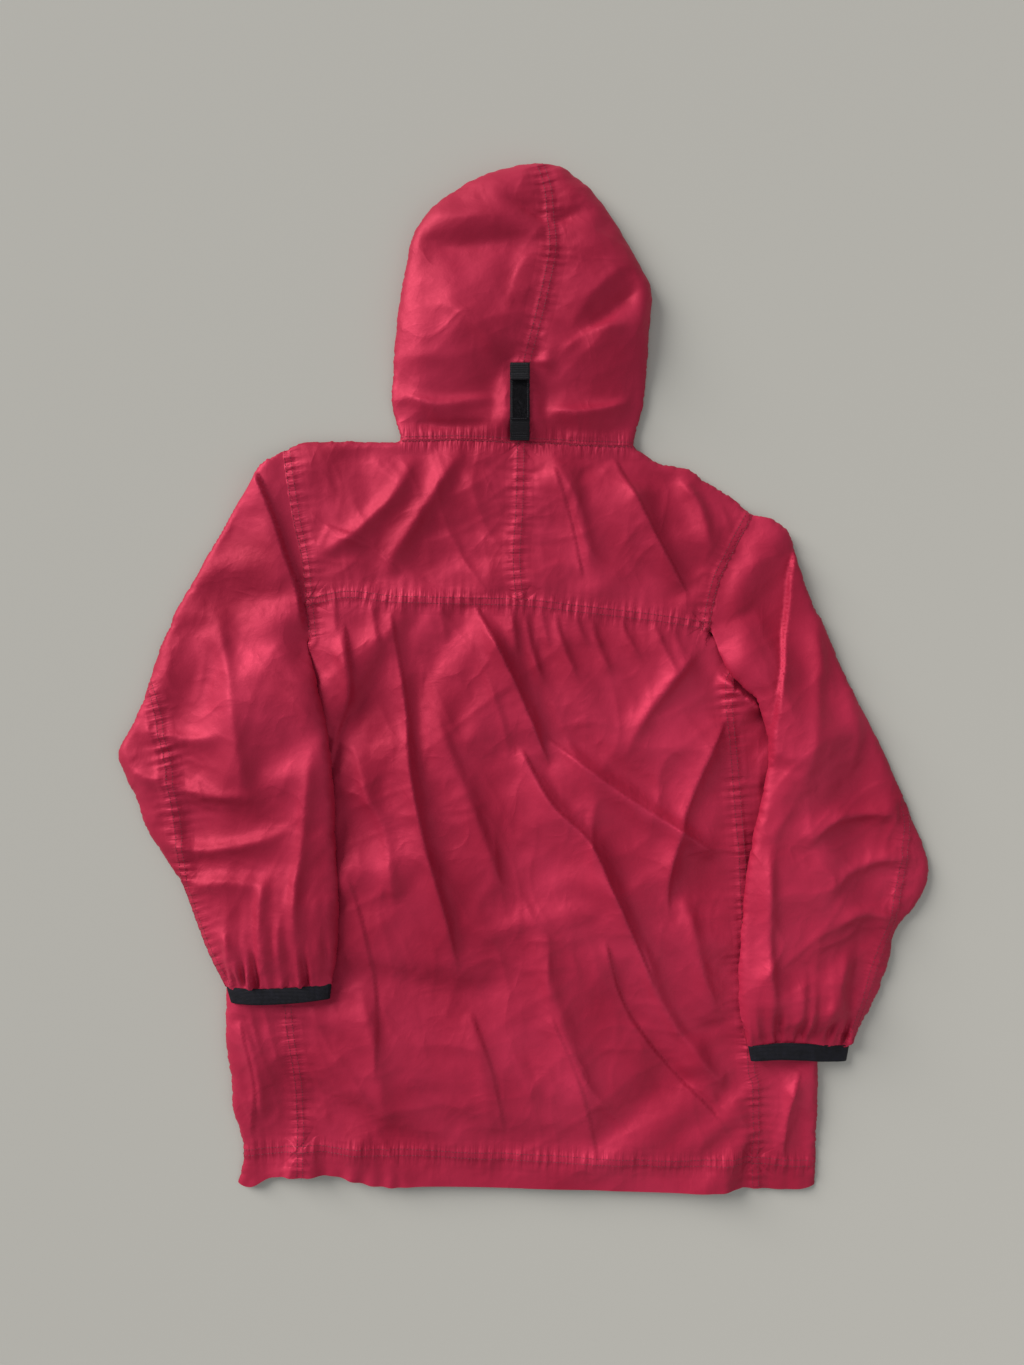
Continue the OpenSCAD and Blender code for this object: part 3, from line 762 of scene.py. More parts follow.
for name, weights in (("tight", tight), ("hold", hold)):
    group = skin.vertex_groups.new(name=name)
    for value in np.unique(np.round(weights, 2)):
        group.add([int(i) for i in np.nonzero(np.round(weights, 2) == value)[0]], float(value), "REPLACE")
cloth = skin.modifiers.new("cloth", "CLOTH")
settings = cloth.settings
settings.quality = 5
settings.mass = 0.15
settings.tension_stiffness = settings.compression_stiffness = 25
settings.shear_stiffness = 12
settings.bending_stiffness = 4
settings.air_damping = 2
settings.vertex_group_mass = "hold"
settings.pin_stiffness = 1.0
settings.vertex_group_shrink = "tight"
settings.shrink_min = -0.02
settings.shrink_max = 0.03
settings.effector_weights.gravity = 0
cloth.collision_settings.use_collision = False
cloth.point_cache.frame_end = 40
for number in range(1, LAST_FRAME + 1):
    bpy.context.scene.frame_set(number)
view_layer = bpy.context.evaluated_depsgraph_get()
after = skin.evaluated_get(view_layer).to_mesh()
moved = np.array([v.co[:] for v in after.vertices]) / MM
skin.modifiers.clear()
bpy.context.scene.frame_set(1)
change = evened(moved - skin_points, 3)
far = np.linalg.norm(change, axis=1, keepdims=True)
skin_points = skin_points + change * np.minimum(1, FURTHEST / np.maximum(far, 1e-6))
skin.data.vertices.foreach_set("co", (skin_points * MM).ravel())
skin.data.update()

# ---- Sewing the seams --------------------------------------------------------------------
# Every seam is felled and stitched through twice, which draws the thin taffeta up into fine
# puckers. The skin is made finer here, and the ridges and puckers are put in.

def refined(points):
    """The skin at these places, made twice as fine: points, faces and panel numbers."""
    fine = new_piece("fine", points, skin_faces, taffeta, skin_layer * 16 + skin_panel)
    finer = fine.modifiers.new("finer", "SUBSURF")
    finer.levels = finer.render_levels = 1
    mesh = bpy.data.meshes.new_from_object(fine.evaluated_get(bpy.context.evaluated_depsgraph_get()))
    places = np.zeros(len(mesh.vertices) * 3)
    corners = np.zeros(len(mesh.polygons) * 4, int)
    numbers = np.zeros(len(mesh.polygons), int)
    mesh.vertices.foreach_get("co", places)
    mesh.loops.foreach_get("vertex_index", corners)
    mesh.polygons.foreach_get("material_index", numbers)
    bpy.data.objects.remove(fine)
    bpy.data.meshes.remove(mesh)
    return places.reshape(-1, 3) / MM, corners.reshape(-1, 4), numbers


cloth_points, cloth_faces, cloth_numbers = refined(skin_points)
flat_points = refined(plan_points)[0][:, :2]
bpy.data.objects.remove(skin)
face_layer, face_panel = cloth_numbers // 16, cloth_numbers % 16
point_layer = np.full(len(cloth_points), -1)
for k in range(8):
    point_layer[cloth_faces[face_layer == k].ravel()] = k

# The folds' crests are pressed in again where the simulation has softened them.
pressed_folds = [(BODY, body_folds, 0.7, body_laps), (LEFT, left_folds, 0.5, [(left_lap, 9, 40)]),
                 (RIGHT, right_folds, 0.6, [(right_lap, 8, 40)]), (HOOD, hood_folds, 0.55, [])]
for layer, folds, share, laps in pressed_folds:
    chosen = np.nonzero(point_layer == layer)[0]
    places = flat_points[chosen]
    outline = {BODY: body_outline, LEFT: left_outline, RIGHT: right_outline, HOOD: hood_outline}[layer]
    fade = smoothstep(3, 26, np.abs(signed_inside(places, outline)))
    cloth_points[chosen, 2] += share * fade * fold_height(places, folds)
    edge = smoothstep(0, 6, np.abs(signed_inside(places, outline)))
    for line, height, reach in laps:
        cloth_points[chosen, 2] += edge * step_height(places, line, height, reach)

# The cuffs' elastic draws the sleeve ends into tight, uneven gathers.
for layer, cuff_line, seed in ((LEFT, left_cuff, 71), (RIGHT, right_cuff, 74)):
    chosen = np.nonzero(point_layer == layer)[0]
    places = flat_points[chosen]
    distance = to_line(places, cuff_line)[0]
    uneven = np.clip(0.7 + 1.3 * waves(places, 24, seed, 1), 0, 1.8)
    gather = edge_ripple(places, cuff_line, 10.5, 22, seed + 1)
    gather += 0.8 * edge_ripple(places, cuff_line, 17, 36, seed + 2)
    cloth_points[chosen, 2] += 3.4 * gather * uneven * smoothstep(0, 6, distance)

# Crisp creases on top of the soft folds: layer, crease spacing, lean, height.
for layer, length, lean, height in ((BODY, 85, -1.1, 2.0), (BODY, 36, -1.3, 0.6), (LEFT, 70, -1.2, 1.8),
                                    (LEFT, 38, -0.5, 0.7), (RIGHT, 70, -1.7, 1.8), (RIGHT, 36, 0.4, 0.8),
                                    (HOOD, 90, 0.9, 1.0), (HOOD, 34, -0.8, 0.3), (BODY, 58, 0.3, 0.8),
                                    (LEFT, 52, 0.9, 0.8), (RIGHT, 54, 0.9, 0.8), (HOOD, 60, 0.2, 0.5)):
    chosen = np.nonzero(point_layer == layer)[0]
    places = flat_points[chosen]
    outline = (body_outline, left_outline, None, right_outline, None, hood_outline)[layer]
    fade = smoothstep(4, 24, np.abs(signed_inside(places, outline)))
    if layer in (LEFT, RIGHT):
        fade *= 0.3 + 0.7 * smoothstep(90, -60, places[:, 1])
    cloth_points[chosen, 2] += height * fade * creases(places, length, 50 + length, lean)

# Seam line, layer, distances of its stitch rows to its left, height of the puckers, and who
# carries its stitches.
hem_stitching = smooth_line([(-292, -487), (-254, -486), (-103, -485), (37, -489), (134, -494), (302, -499)])
SEAMS = [
    (yoke_seam, BODY, (-1.2, -7.6), 1.0, "body"),
    (centre_seam, BODY, (-2.5, 4.5), 1.3, "body"),
    (left_side_seam, BODY, (1.2, 7.6), 1.1, "body"),
    (right_side_seam, BODY, (-1.2, -7.6), 1.4, "body"),
    (left_armhole, BODY, (1.5, 8.0), 1.3, "body"),
    (right_armhole, BODY, (1.5, 8.0), 1.1, "body"),
    (hem_stitching, BODY, (0, -6), 0.7, "body"),
    (neck, BODY, (2.2,), 0.6, "body"),
    (left_sleeve_seam, LEFT, (1.2, 7.2), 1.3, "left_sleeve"),
    (right_sleeve_seam, RIGHT, (-1.2, -7.2), 0.8, "right_sleeve"),
    (hood_seam, HOOD, (-3.4, 3.4), 1.2, "hood"),
    (neck, HOOD, (-2.6,), 0.8, "hood"),
]
seam_along = np.zeros(len(cloth_points))
seam_across = np.full(len(cloth_points), 99.0)
next_across = np.full(len(cloth_points), 99.0)
for number, (line, layer, rows, height, _) in enumerate(SEAMS):
    chosen = np.nonzero(point_layer == layer)[0]
    distance, along, signed = to_line(flat_points[chosen], line)
    half = abs(rows[0] - rows[-1]) / 2
    across = signed - (rows[0] + rows[-1]) / 2
    beside = np.maximum(np.abs(across) - half, 0)
    ridge = 0.8 * smoothstep(half + 3.2, half + 0.4, np.abs(across)) * (len(rows) > 1)
    uneven = np.clip(0.55 + 1.2 * waves(np.column_stack([along, along * 0]), 30, 40 + number, 1), 0, 1.6)
    wobble = 5 * waves(np.column_stack([along, across * 0.3]), 22, 60 + number, 1)
    ripple = np.cos(2 * math.pi * (along + wobble) / 9.5) * np.exp(-beside / 9)
    inward = smoothstep(0, 3, distance) if len(rows) == 1 else 1
    cloth_points[chosen, 2] += inward * (ridge + height * uneven * ripple)
    away = np.abs(across)
    nearer = away < np.minimum(seam_across[chosen], 20)
    next_across[chosen] = np.where(nearer, seam_across[chosen], np.minimum(next_across[chosen], away))
    seam_along[chosen[nearer]] = along[nearer] + 1000 * number
    seam_across[chosen[nearer]] = away[nearer]
# Where two seams are equally near, the fine puckers fade out, so that none is cut short.
seam_across += 15 * smoothstep(6, 0, next_across - seam_across)

# ---- Cut panels --------------------------------------------------------------------------
# The back, its two yokes, the two fronts that wrap round to the side seams, two pieces in
# each sleeve and two in the hood: single layers of taffeta, each its own piece.

HOOD_TURN = ("torso", "hood", (0, 0.243, 0.02), (0, 0.300, 0.02))
LEFT_TURN = ("torso", "sleeve_left", (-0.240, 0.060, 0.02), (-0.296, 0.003, 0.02))
RIGHT_TURN = ("torso", "sleeve_right", (0.215, 0.060, 0.02), (0.271, 0.003, 0.02))


def turned_with(piece, turn):
    """Parents a piece to one named body; for a joint given as a tuple, it only bakes the piece's place into
    its mesh.
    """
    if isinstance(turn, str):
        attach(piece, turn)
    else:
        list(turn)
        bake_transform(piece)


for number, panel in enumerate(PANELS):
    chosen = cloth_faces[face_panel == number]
    used, local = np.unique(chosen, return_inverse=True)
    piece = new_piece(panel + "_cloth", cloth_points[used], local.reshape(-1, 4), taffeta)
    corners = chosen.ravel()
    uv_map = piece.data.uv_layers.new(name="seam")
    uv_map.data.foreach_set("uv", np.column_stack([seam_along[corners], seam_across[corners]]).ravel())
    turn = "torso"
    if panel.startswith("hood"):
        turn = HOOD_TURN
    elif panel.startswith("sleeve"):
        turn = LEFT_TURN if panel.endswith("left") else RIGHT_TURN
    turned_with(piece, turn)
    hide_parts(panel)

# ---- Topstitching ------------------------------------------------------------------------
# Two rows of polyester thread in the cloth's own colour run beside each seam, about eight
# stitches to the inch, each one lying in the little hollow that it pulls.

# Twisted polyester, dyed a shade darker than the cloth, with a low sheen. Its plies are drawn
# about 1 mm long, coarser than real ones, so that they show.
thread, thread_shader = new_material("burgundy_polyester_thread")
place = add_node(thread, "ShaderNodeTexCoord").outputs["Object"]
plies = add_node(thread, "ShaderNodeTexNoise", {"Scale": 900.0, "Detail": 2.0}, {"Vector": place})
dye = add_node(thread, "ShaderNodeValToRGB", links={"Fac": plies.outputs["Fac"]})
dye.color_ramp.elements[0].color = linear("#560b1e")
dye.color_ramp.elements[1].color = linear("#8a1c38")
twist = add_node(thread, "ShaderNodeBump", {"Strength": 0.5, "Distance": 0.0001},
                 {"Height": plies.outputs["Fac"]})
linked(thread, thread_shader, Base_Color=dye.outputs["Color"], Normal=twist.outputs["Normal"])
thread_shader.inputs["Roughness"].default_value = 0.5
thread_shader.inputs["Sheen Weight"].default_value = 0.15

cloth_corners = cloth_points[cloth_faces]
face_normals = np.cross(cloth_corners[:, 2] - cloth_corners[:, 0], cloth_corners[:, 3] - cloth_corners[:, 1])
point_normals = np.zeros_like(cloth_points)
for k in range(4):
    np.add.at(point_normals, cloth_faces[:, k], face_normals)
point_normals /= np.maximum(np.linalg.norm(point_normals, axis=1, keepdims=True), 1e-9)
layer_trees = {}


def on_cloth(layer, places):
    """Points and normals on a layer of the sewn cloth, for places in the flat plan."""
    if layer not in layer_trees:
        quads = cloth_faces[face_layer == layer]
        triangles = np.vstack([quads[:, [0, 1, 2]], quads[:, [0, 2, 3]]])
        flat = [Vector((x, y, 0)) for x, y in flat_points]
        layer_trees[layer] = (BVHTree.FromPolygons(flat, triangles.tolist()), triangles, flat)
    tree, triangles, flat = layer_trees[layer]
    found, normals = [], []
    for x, y in places:
        spot, _, index, _ = tree.find_nearest((x, y, 0))
        corners = triangles[index]
        ends = [flat[i] for i in corners]
        for values, made in ((cloth_points, found), (point_normals, normals)):
            made.append(geometry.barycentric_transform(spot, *ends, *[Vector(values[i]) for i in corners]))
    normals = np.array(normals)
    return np.array(found), normals / np.linalg.norm(normals, axis=1, keepdims=True)


def beside(line, distance):
    """A line moved that far to its left."""
    run = np.gradient(line, axis=0)
    run /= np.linalg.norm(run, axis=1, keepdims=True)
    return line + distance * np.column_stack([-run[:, 1], run[:, 0]])


def stitch_shape():
    """Points and faces of one stitch, as a ball of radius 1 that is then drawn out."""
    stitch = bmesh.new()
    bmesh.ops.create_uvsphere(stitch, u_segments=6, v_segments=4, radius=1)
    points = np.array([v.co[:] for v in stitch.verts])
    faces = [[v.index for v in f.verts] for f in stitch.faces]
    stitch.free()
    return points, faces


def stitch_row(layer, line, pitch=3.3, length=2.5, width=0.55):
    """Points and faces of a row of stitches along a line on the cloth."""
    line = smooth_line(line, pitch)
    spots, normals = on_cloth(layer, line)
    run = np.gradient(spots, axis=0)
    run /= np.linalg.norm(run, axis=1, keepdims=True)
    side = np.cross(normals, run)
    shape, faces = stitch_shape()
    shape = shape[:, [2, 0, 1]] * (length / 2, width / 2, width * 0.4)
    points = [spot + width * 0.25 * up + shape[:, :1] * ahead + shape[:, 1:2] * across + shape[:, 2:] * up
              for spot, up, ahead, across in zip(spots[:-1], normals, run, side)]
    turned = [[i + n * len(shape) for i in face[::-1]] for n in range(len(points)) for face in faces]
    return np.vstack(points), turned


def stitching(name, rows, material, turn):
    """One piece from rows of stitches."""
    points, faces = [], []
    count = 0
    for row_points, row_faces in rows:
        points.append(row_points)
        faces += [[i + count for i in face] for face in row_faces]
        count += len(row_points)
    piece = new_piece(name, np.vstack(points), faces, material)
    turned_with(piece, turn)
    return piece


for who, turn in (("body", "torso"), ("left_sleeve", LEFT_TURN), ("right_sleeve", RIGHT_TURN),
                  ("hood", HOOD_TURN)):
    rows = [stitch_row(layer, beside(line, row)) for line, layer, places, _, owner in SEAMS if owner == who
            for row in places]
    if who == "body":
        front_row = beside(hem_line, 34)[2:-2]
        rows.append(stitch_row(FRONT, front_row[front_row[:, 0] < -14]))
        rows.append(stitch_row(FRONT, front_row[front_row[:, 0] > 14]))
    if who == "hood":
        rows.append(stitch_row(HOOD_UNDER, beside(face_edge, 13)[2:-2]))
    stitching(who + "_topstitching", rows, thread, turn)

# ---- Hem casing, elastic, pockets and neck tape ------------------------------------------
# Turned-in strips and bags of the same taffeta on the inside, seen through the hem and the
# neck, with the elastic that gathers the hem between the casing and the shell.


def made_piece(name, shape, material):
    """A smooth object from a finished bmesh."""
    for face in shape.faces:
        face.smooth = True
    mesh = bpy.data.meshes.new(name)
    shape.to_mesh(mesh)
    shape.free()
    mesh.materials.append(material)
    piece = bpy.data.objects.new(name, mesh)
    bpy.context.collection.objects.link(piece)
    return piece


def strip(name, parts, thickness, material, turn, node, step=5.0, columns=5):
    """A piece made of strips on the cloth: (layer, line, from, to, lift), with distances to the
    line's left."""
    strips = bmesh.new()
    for layer, line, low, high, lift in parts:
        line = smooth_line(line, step)
        grid = bmesh.new()
        bmesh.ops.create_grid(grid, x_segments=len(line) - 1, y_segments=columns, size=1)
        grid.verts.ensure_lookup_table()
        lanes = [beside(line, low + (high - low) * j / columns) for j in range(columns + 1)]
        for vert in grid.verts:
            i = round((vert.co.x + 1) / 2 * (len(line) - 1))
            j = round((vert.co.y + 1) / 2 * columns)
            spots, normals = on_cloth(layer, [lanes[j][i]])
            vert.co = Vector(spots[0] + lift * normals[0]) * MM
            vert.co.z = max(vert.co.z, 0.0001)
        facing = -1 if layer in (FRONT, HOOD_UNDER) else 1
        if sum(f.normal.z for f in grid.faces) * facing < 0:
            bmesh.ops.reverse_faces(grid, faces=grid.faces)
        mesh = bpy.data.meshes.new("part")
        grid.to_mesh(mesh)
        grid.free()
        strips.from_mesh(mesh)
        bpy.data.meshes.remove(mesh)
    piece = made_piece(name, strips, material)
    thick = piece.modifiers.new("thickness", "SOLIDIFY")
    thick.thickness = thickness * MM
    thick.offset = 0
    applied(piece)
    turned_with(piece, turn)
    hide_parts(node)
    return piece


def applied(piece):
    """Makes a piece's modifiers part of its mesh."""
    mesh = bpy.data.meshes.new_from_object(piece.evaluated_get(bpy.context.evaluated_depsgraph_get()))
    piece.modifiers.clear()
    old = piece.data
    piece.data = mesh
    bpy.data.meshes.remove(old)
    mesh.name = piece.name


# Polyester yarn over rubber: matt black and a little linty, with ribs 1.4 mm apart that run
# along the band.
elastic, elastic_shader = new_material("ribbed_black_elastic")
place = add_node(elastic, "ShaderNodeTexCoord").outputs["Object"]
ribs = add_node(elastic, "ShaderNodeTexWave", {"Scale": 230.0, "Distortion": 1.2, "Detail": 1.0},
                {"Vector": place}, bands_direction="Y")
picks = add_node(elastic, "ShaderNodeTexWave", {"Scale": 260.0, "Distortion": 0.8}, {"Vector": place},
                 bands_direction="X")
lint = add_node(elastic, "ShaderNodeTexNoise", {"Scale": 140.0, "Detail": 4.0}, {"Vector": place})
knit = add_node(elastic, "ShaderNodeMath", links={0: ribs.outputs["Fac"], 1: picks.outputs["Fac"]},
                operation="ADD")
tone = add_node(elastic, "ShaderNodeValToRGB", links={"Fac": lint.outputs["Fac"]})
tone.color_ramp.elements[0].position = 0.35
tone.color_ramp.elements[0].color = linear("#0b0a10")
tone.color_ramp.elements[1].position = 0.75
tone.color_ramp.elements[1].color = linear("#16151f")
knit_bump = add_node(elastic, "ShaderNodeBump", {"Strength": 0.7, "Distance": 0.0004},
                     {"Height": knit.outputs[0]})
linked(elastic, elastic_shader, Base_Color=tone.outputs["Color"], Normal=knit_bump.outputs["Normal"])
elastic_shader.inputs["Roughness"].default_value = 0.68
elastic_shader.inputs["Specular IOR Level"].default_value = 0.22

casing_line = hem_line[1:-1]
casing_left, casing_right = casing_line[casing_line[:, 0] < -12], casing_line[casing_line[:, 0] > 12]
strip("hem_casing_cloth", [(BODY, casing_line, 1, 33, -3.4), (FRONT, casing_left, 1, 33, -1.8),
                           (FRONT, casing_right, 1, 33, -1.8)],
      0.25, taffeta, "torso", "hem_casing")
left_hem = hem_line[(hem_line[:, 0] > -285) & (hem_line[:, 0] < -115)]
right_hem = hem_line[(hem_line[:, 0] > 150) & (hem_line[:, 0] < 285)]
strip("hem_elastic_bands", [(layer, line, 7, 27, -2.3 if layer == BODY else -1.0)
                            for layer in (BODY, FRONT)
                            for line in (left_hem, right_hem)],
      0.5, elastic, "torso", "hem_elastic")
tilt = math.radians(14)
for side, way in ((-1, "left"), (1, "right")):
    slit = np.array([(side * (150 + 80 * t * math.sin(tilt)), -330 + 80 * t * math.cos(tilt))
                     for t in (-1, 0, 1)])
    welt = strip("pocket_welt_" + way + "_cloth", [(FRONT, slit[::-1], -9, 9, 0.45)], 0.5, taffeta, "torso",
                 "pocket_welt_" + way)
    middle_line = np.array([(side * 132, -438), (side * 132, -238)], float)
    bag = strip("pocket_bag_" + way + "_cloth", [(FRONT, middle_line, -76, 76, -1.0)], 0.3, taffeta, "torso",
                "pocket_bag_" + way, columns=16)
strip("neck_tape_cloth", [(BODY, neck[2:-2], 1.5, 11, -2.4)], 0.5, taffeta, "torso", "neck_tape")
strip("hood_face_hem_cloth", [(HOOD_UNDER, face_edge[1:-1], 0.3, 15, -0.9)], 0.3, taffeta, HOOD_TURN,
      "hood_hem")

# ---- Cuffs -------------------------------------------------------------------------------
# A soft black elastic band about 14 mm wide closes each sleeve. The gathered taffeta runs
# into its upper edge, and the band lies flat as a flattened ring.


def cuff(name, upper, lower, top_line, end_line, turn, node):
    """A flattened ring of elastic from the sleeve's edge down to end_line."""
    count = 26
    share = np.linspace(0, 1, count)
    lanes = []
    for line in (top_line, end_line):
        line = smooth_line(line, 1)
        lanes.append(line[np.round(share * (len(line) - 1)).astype(int)])
    over = on_cloth(upper, lanes[0])[0][:, 2]
    below = on_cloth(lower, lanes[0])[0][:, 2]
    even = np.ones(9) / 9
    over, below = (np.convolve(np.pad(z, 4, mode="edge"), even, mode="valid") for z in (over, below))
    centre = (over + below) / 2
    half = np.clip((over - below) / 2 + 1.5, 3.2, 5.0) * np.sqrt(np.clip(1 - (2 * share - 1) ** 8, 0, 1))
    loop = [(i, 1) for i in range(count)] + [(i, -1) for i in range(count - 2, 0, -1)]
    band = bmesh.new()
    ring = bmesh.ops.create_circle(band, segments=len(loop), radius=1)["verts"]
    rows = 5
    for row in range(rows + 1):
        t = row / rows
        for vert, (i, side) in zip(ring, loop):
            x, y = lanes[0][i] * (1 - t) + lanes[1][i] * t + (0, 3 * (1 - t))
            bulge = 1 + 0.12 * math.sin(math.pi * t)
            vert.co = Vector((x, y, centre[i] + side * half[i] * bulge)) * MM
        if row < rows:
            edges = [e for e in band.edges if e.verts[0] in ring and e.verts[1] in ring]
            made = bmesh.ops.extrude_edge_only(band, edges=edges)["geom"]
            fresh = {g for g in made if isinstance(g, bmesh.types.BMVert)}
            ring = [next(e.other_vert(v) for e in v.link_edges if e.other_vert(v) in fresh) for v in ring]
    band.normal_update()
    heart = Vector((*lanes[0].mean(0), centre.mean())) * MM
    if sum((f.calc_center_median().z - heart.z) * f.normal.z for f in band.faces) < 0:
        bmesh.ops.reverse_faces(band, faces=band.faces)
    piece = made_piece(name, band, elastic)
    thick = piece.modifiers.new("thickness", "SOLIDIFY")
    thick.thickness = 1.1 * MM
    thick.offset = -1
    thick.use_rim = True
    finer = piece.modifiers.new("finer", "SUBSURF")
    finer.levels = finer.render_levels = 1
    applied(piece)
    turned_with(piece, turn)
    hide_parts(node)


cuff("cuff_left_band", LEFT, LEFT_UNDER, [(-306, -319), (-250, -318), (-195, -315)],
     [(-301, -333), (-250, -332), (-197, -328)], "sleeve_left", "cuff_left")
cuff("cuff_right_band", RIGHT, RIGHT_UNDER, [(226, -379), (269, -375), (336, -382)],
     [(229, -392), (269, -390), (333, -396)], "sleeve_right", "cuff_right")

# ---- Hood strap --------------------------------------------------------------------------
# 20 mm black nylon webbing sewn in at the neck seam and lying up the hood, with a strip of
# loop pile on it, and a folded tab of the same webbing that closes on the pile with hooks.

# Plain-woven nylon, nearly black and dull, in yarns 1.3 by 1.7 mm that stand up as small bumps.
webbing, webbing_shader = new_material("black_nylon_webbing")
place = add_node(webbing, "ShaderNodeTexCoord").outputs["Object"]
ends = add_node(webbing, "ShaderNodeTexWave", {"Scale": 250.0, "Distortion": 1.0}, {"Vector": place},
                bands_direction="X")
picks = add_node(webbing, "ShaderNodeTexWave", {"Scale": 180.0, "Distortion": 1.0}, {"Vector": place},
                 bands_direction="Y")
plain = add_node(webbing, "ShaderNodeMath", links={0: ends.outputs["Fac"], 1: picks.outputs["Fac"]},
                 operation="MULTIPLY")
tone = add_node(webbing, "ShaderNodeValToRGB", links={"Fac": plain.outputs[0]})
tone.color_ramp.elements[0].color = linear("#0a090c")
tone.color_ramp.elements[1].color = linear("#1e1d23")
web_bump = add_node(webbing, "ShaderNodeBump", {"Strength": 0.8, "Distance": 0.0004},
                    {"Height": plain.outputs[0]})
linked(webbing, webbing_shader, Base_Color=tone.outputs["Color"], Normal=web_bump.outputs["Normal"])
webbing_shader.inputs["Roughness"].default_value = 0.6
webbing_shader.inputs["Specular IOR Level"].default_value = 0.22

strap_low, strap_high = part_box("strap_webbing")
tab_low, tab_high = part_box("strap_tab")
patch_low, patch_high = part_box("loop_patch")
strap_x = (strap_low.x + strap_high.x) / 2 / MM
strap_half = (strap_high.x - strap_low.x) / 2 / MM
strap_top = strap_high.y / MM
strap_places = np.arange(236, strap_top + 3, 2.0)
lying = np.max([on_cloth(HOOD, np.column_stack([strap_places * 0 + strap_x + dx, strap_places]))[0][:, 2]
                for dx in (-9, -4, 0, 4, 9)], axis=0)
# The webbing is stiffer than the taffeta: it rests on the high places and bridges the hollows.
padded = np.pad(lying, 3, mode="edge")
lying = np.max([padded[k:k + len(lying)] for k in range(7)], axis=0)
lying = np.convolve(np.pad(lying, 3, mode="edge"), np.ones(7) / 7, mode="valid")


def flat_band(name, low, high, half, bottom, thickness, material, turn, node, edge=0.5):
    """A flat strip of webbing or pile along the hood's middle, lying bottom mm above the cloth."""
    grid = bmesh.new()
    bmesh.ops.create_grid(grid, x_segments=8, y_segments=max(4, round((high - low) / 2)), size=1)
    for vert in grid.verts:
        x = strap_x + vert.co.x * half
        y = low + (vert.co.y + 1) / 2 * (high - low)
        z = np.interp(y, strap_places, lying) + bottom + thickness / 2
        vert.co = Vector((x + 0.12 * math.sin(y * 0.9), y, z)) * MM
    piece = made_piece(name, grid, material)
    thick = piece.modifiers.new("thickness", "SOLIDIFY")
    thick.thickness = thickness * MM
    thick.offset = 0
    rounded = piece.modifiers.new("edge", "BEVEL")
    rounded.width = edge * thickness * 0.8 * MM
    rounded.segments = 2
    applied(piece)
    turned_with(piece, turn)
    if node:
        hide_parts(node)
    return piece


flat_band("strap_webbing_band", strap_low.y / MM - 3, strap_top, strap_half, 0.3, 1.2, webbing, HOOD_TURN,
          "strap_webbing")

# Napped nylon loops: black without a shine, with a soft grain where they lie different ways.
pile, pile_shader = new_material("black_loop_pile")
place = add_node(pile, "ShaderNodeTexCoord").outputs["Object"]
fuzz = add_node(pile, "ShaderNodeTexNoise", {"Scale": 1300.0, "Detail": 3.0}, {"Vector": place})
tone = add_node(pile, "ShaderNodeValToRGB", links={"Fac": fuzz.outputs["Fac"]})
tone.color_ramp.elements[0].position = 0.3
tone.color_ramp.elements[0].color = linear("#080709")
tone.color_ramp.elements[1].position = 0.8
tone.color_ramp.elements[1].color = linear("#201e23")
pile_bump = add_node(pile, "ShaderNodeBump", {"Strength": 1.0, "Distance": 0.0006},
                     {"Height": fuzz.outputs["Fac"]})
linked(pile, pile_shader, Base_Color=tone.outputs["Color"], Normal=pile_bump.outputs["Normal"])
pile_shader.inputs["Roughness"].default_value = 0.85
pile_shader.inputs["Specular IOR Level"].default_value = 0.2

patch_low_y, patch_high_y = patch_low.y / MM, patch_high.y / MM
patch_half = (patch_high.x - patch_low.x) / 2 / MM
flat_band("loop_patch_backing", patch_low_y, patch_high_y, patch_half, 1.5, 0.7, pile, HOOD_TURN,
          "loop_patch")


def tufts(name, low, high, half, base, count, rise, turn):
    """Hundreds of tiny bent loops of yarn standing on a strip."""
    loop = bmesh.new()
    bmesh.ops.create_cone(loop, segments=4, radius1=0.13, radius2=0.13, depth=1, cap_ends=False)
    upright = [e for e in loop.edges if abs(e.verts[0].co.z - e.verts[1].co.z) > 0.5]
    bmesh.ops.subdivide_edges(loop, edges=upright, cuts=3)
    for vert in loop.verts:
        angle = math.pi * (vert.co.z + 0.5)
        spread = 0.45 + vert.co.x
        vert.co = Vector((-spread * math.cos(angle), vert.co.y, spread * math.sin(angle)))
    shape = np.array([v.co[:] for v in loop.verts])
    faces = [[v.index for v in f.verts] for f in loop.faces]
    loop.free()
    points, all_faces = [], []
    for n in range(count):
        x, y = strap_x + rng.uniform(-half, half), rng.uniform(low, high)
        turn_by, lean = rng.uniform(0, math.pi), rng.uniform(-0.6, 0.6)
        c, d = math.cos(turn_by), math.sin(turn_by)
        made = shape * (1, 1, rise * rng.uniform(0.7, 1.3))
        made[:, 1] += lean * made[:, 2]
        z = np.interp(y, strap_places, lying) + base
        points.append(np.column_stack([x + c * made[:, 0] - d * made[:, 1],
                                       y + d * made[:, 0] + c * made[:, 1], z + made[:, 2]]))
        all_faces += [[i + n * len(shape) for i in face] for face in faces]
    piece = new_piece(name, np.vstack(points), all_faces, pile)
    turned_with(piece, turn)
    return piece


tufts("loop_pile", patch_low_y + 0.8, patch_high_y - 0.8, patch_half - 0.8, 2.1, 1500, 1.1, HOOD_TURN)

tab_low_y, tab_high_y = tab_low.y / MM, tab_high.y / MM
flat_band("hook_patch_strip", tab_low_y + 1.5, tab_high_y - 1.5, strap_half - 2, 3.5, 0.7, pile, "flap",
          "hook_patch")
flat_band("strap_tab_band", tab_low_y, tab_high_y, strap_half, 4.3, 1.2, webbing, "flap", "strap_tab",
          edge=0.55)
flat_band("strap_tab_fold", tab_low_y + 0.4, tab_low_y + 6.5, strap_half - 0.3, 5.5, 0.9, webbing, "flap",
          None, edge=0.55)

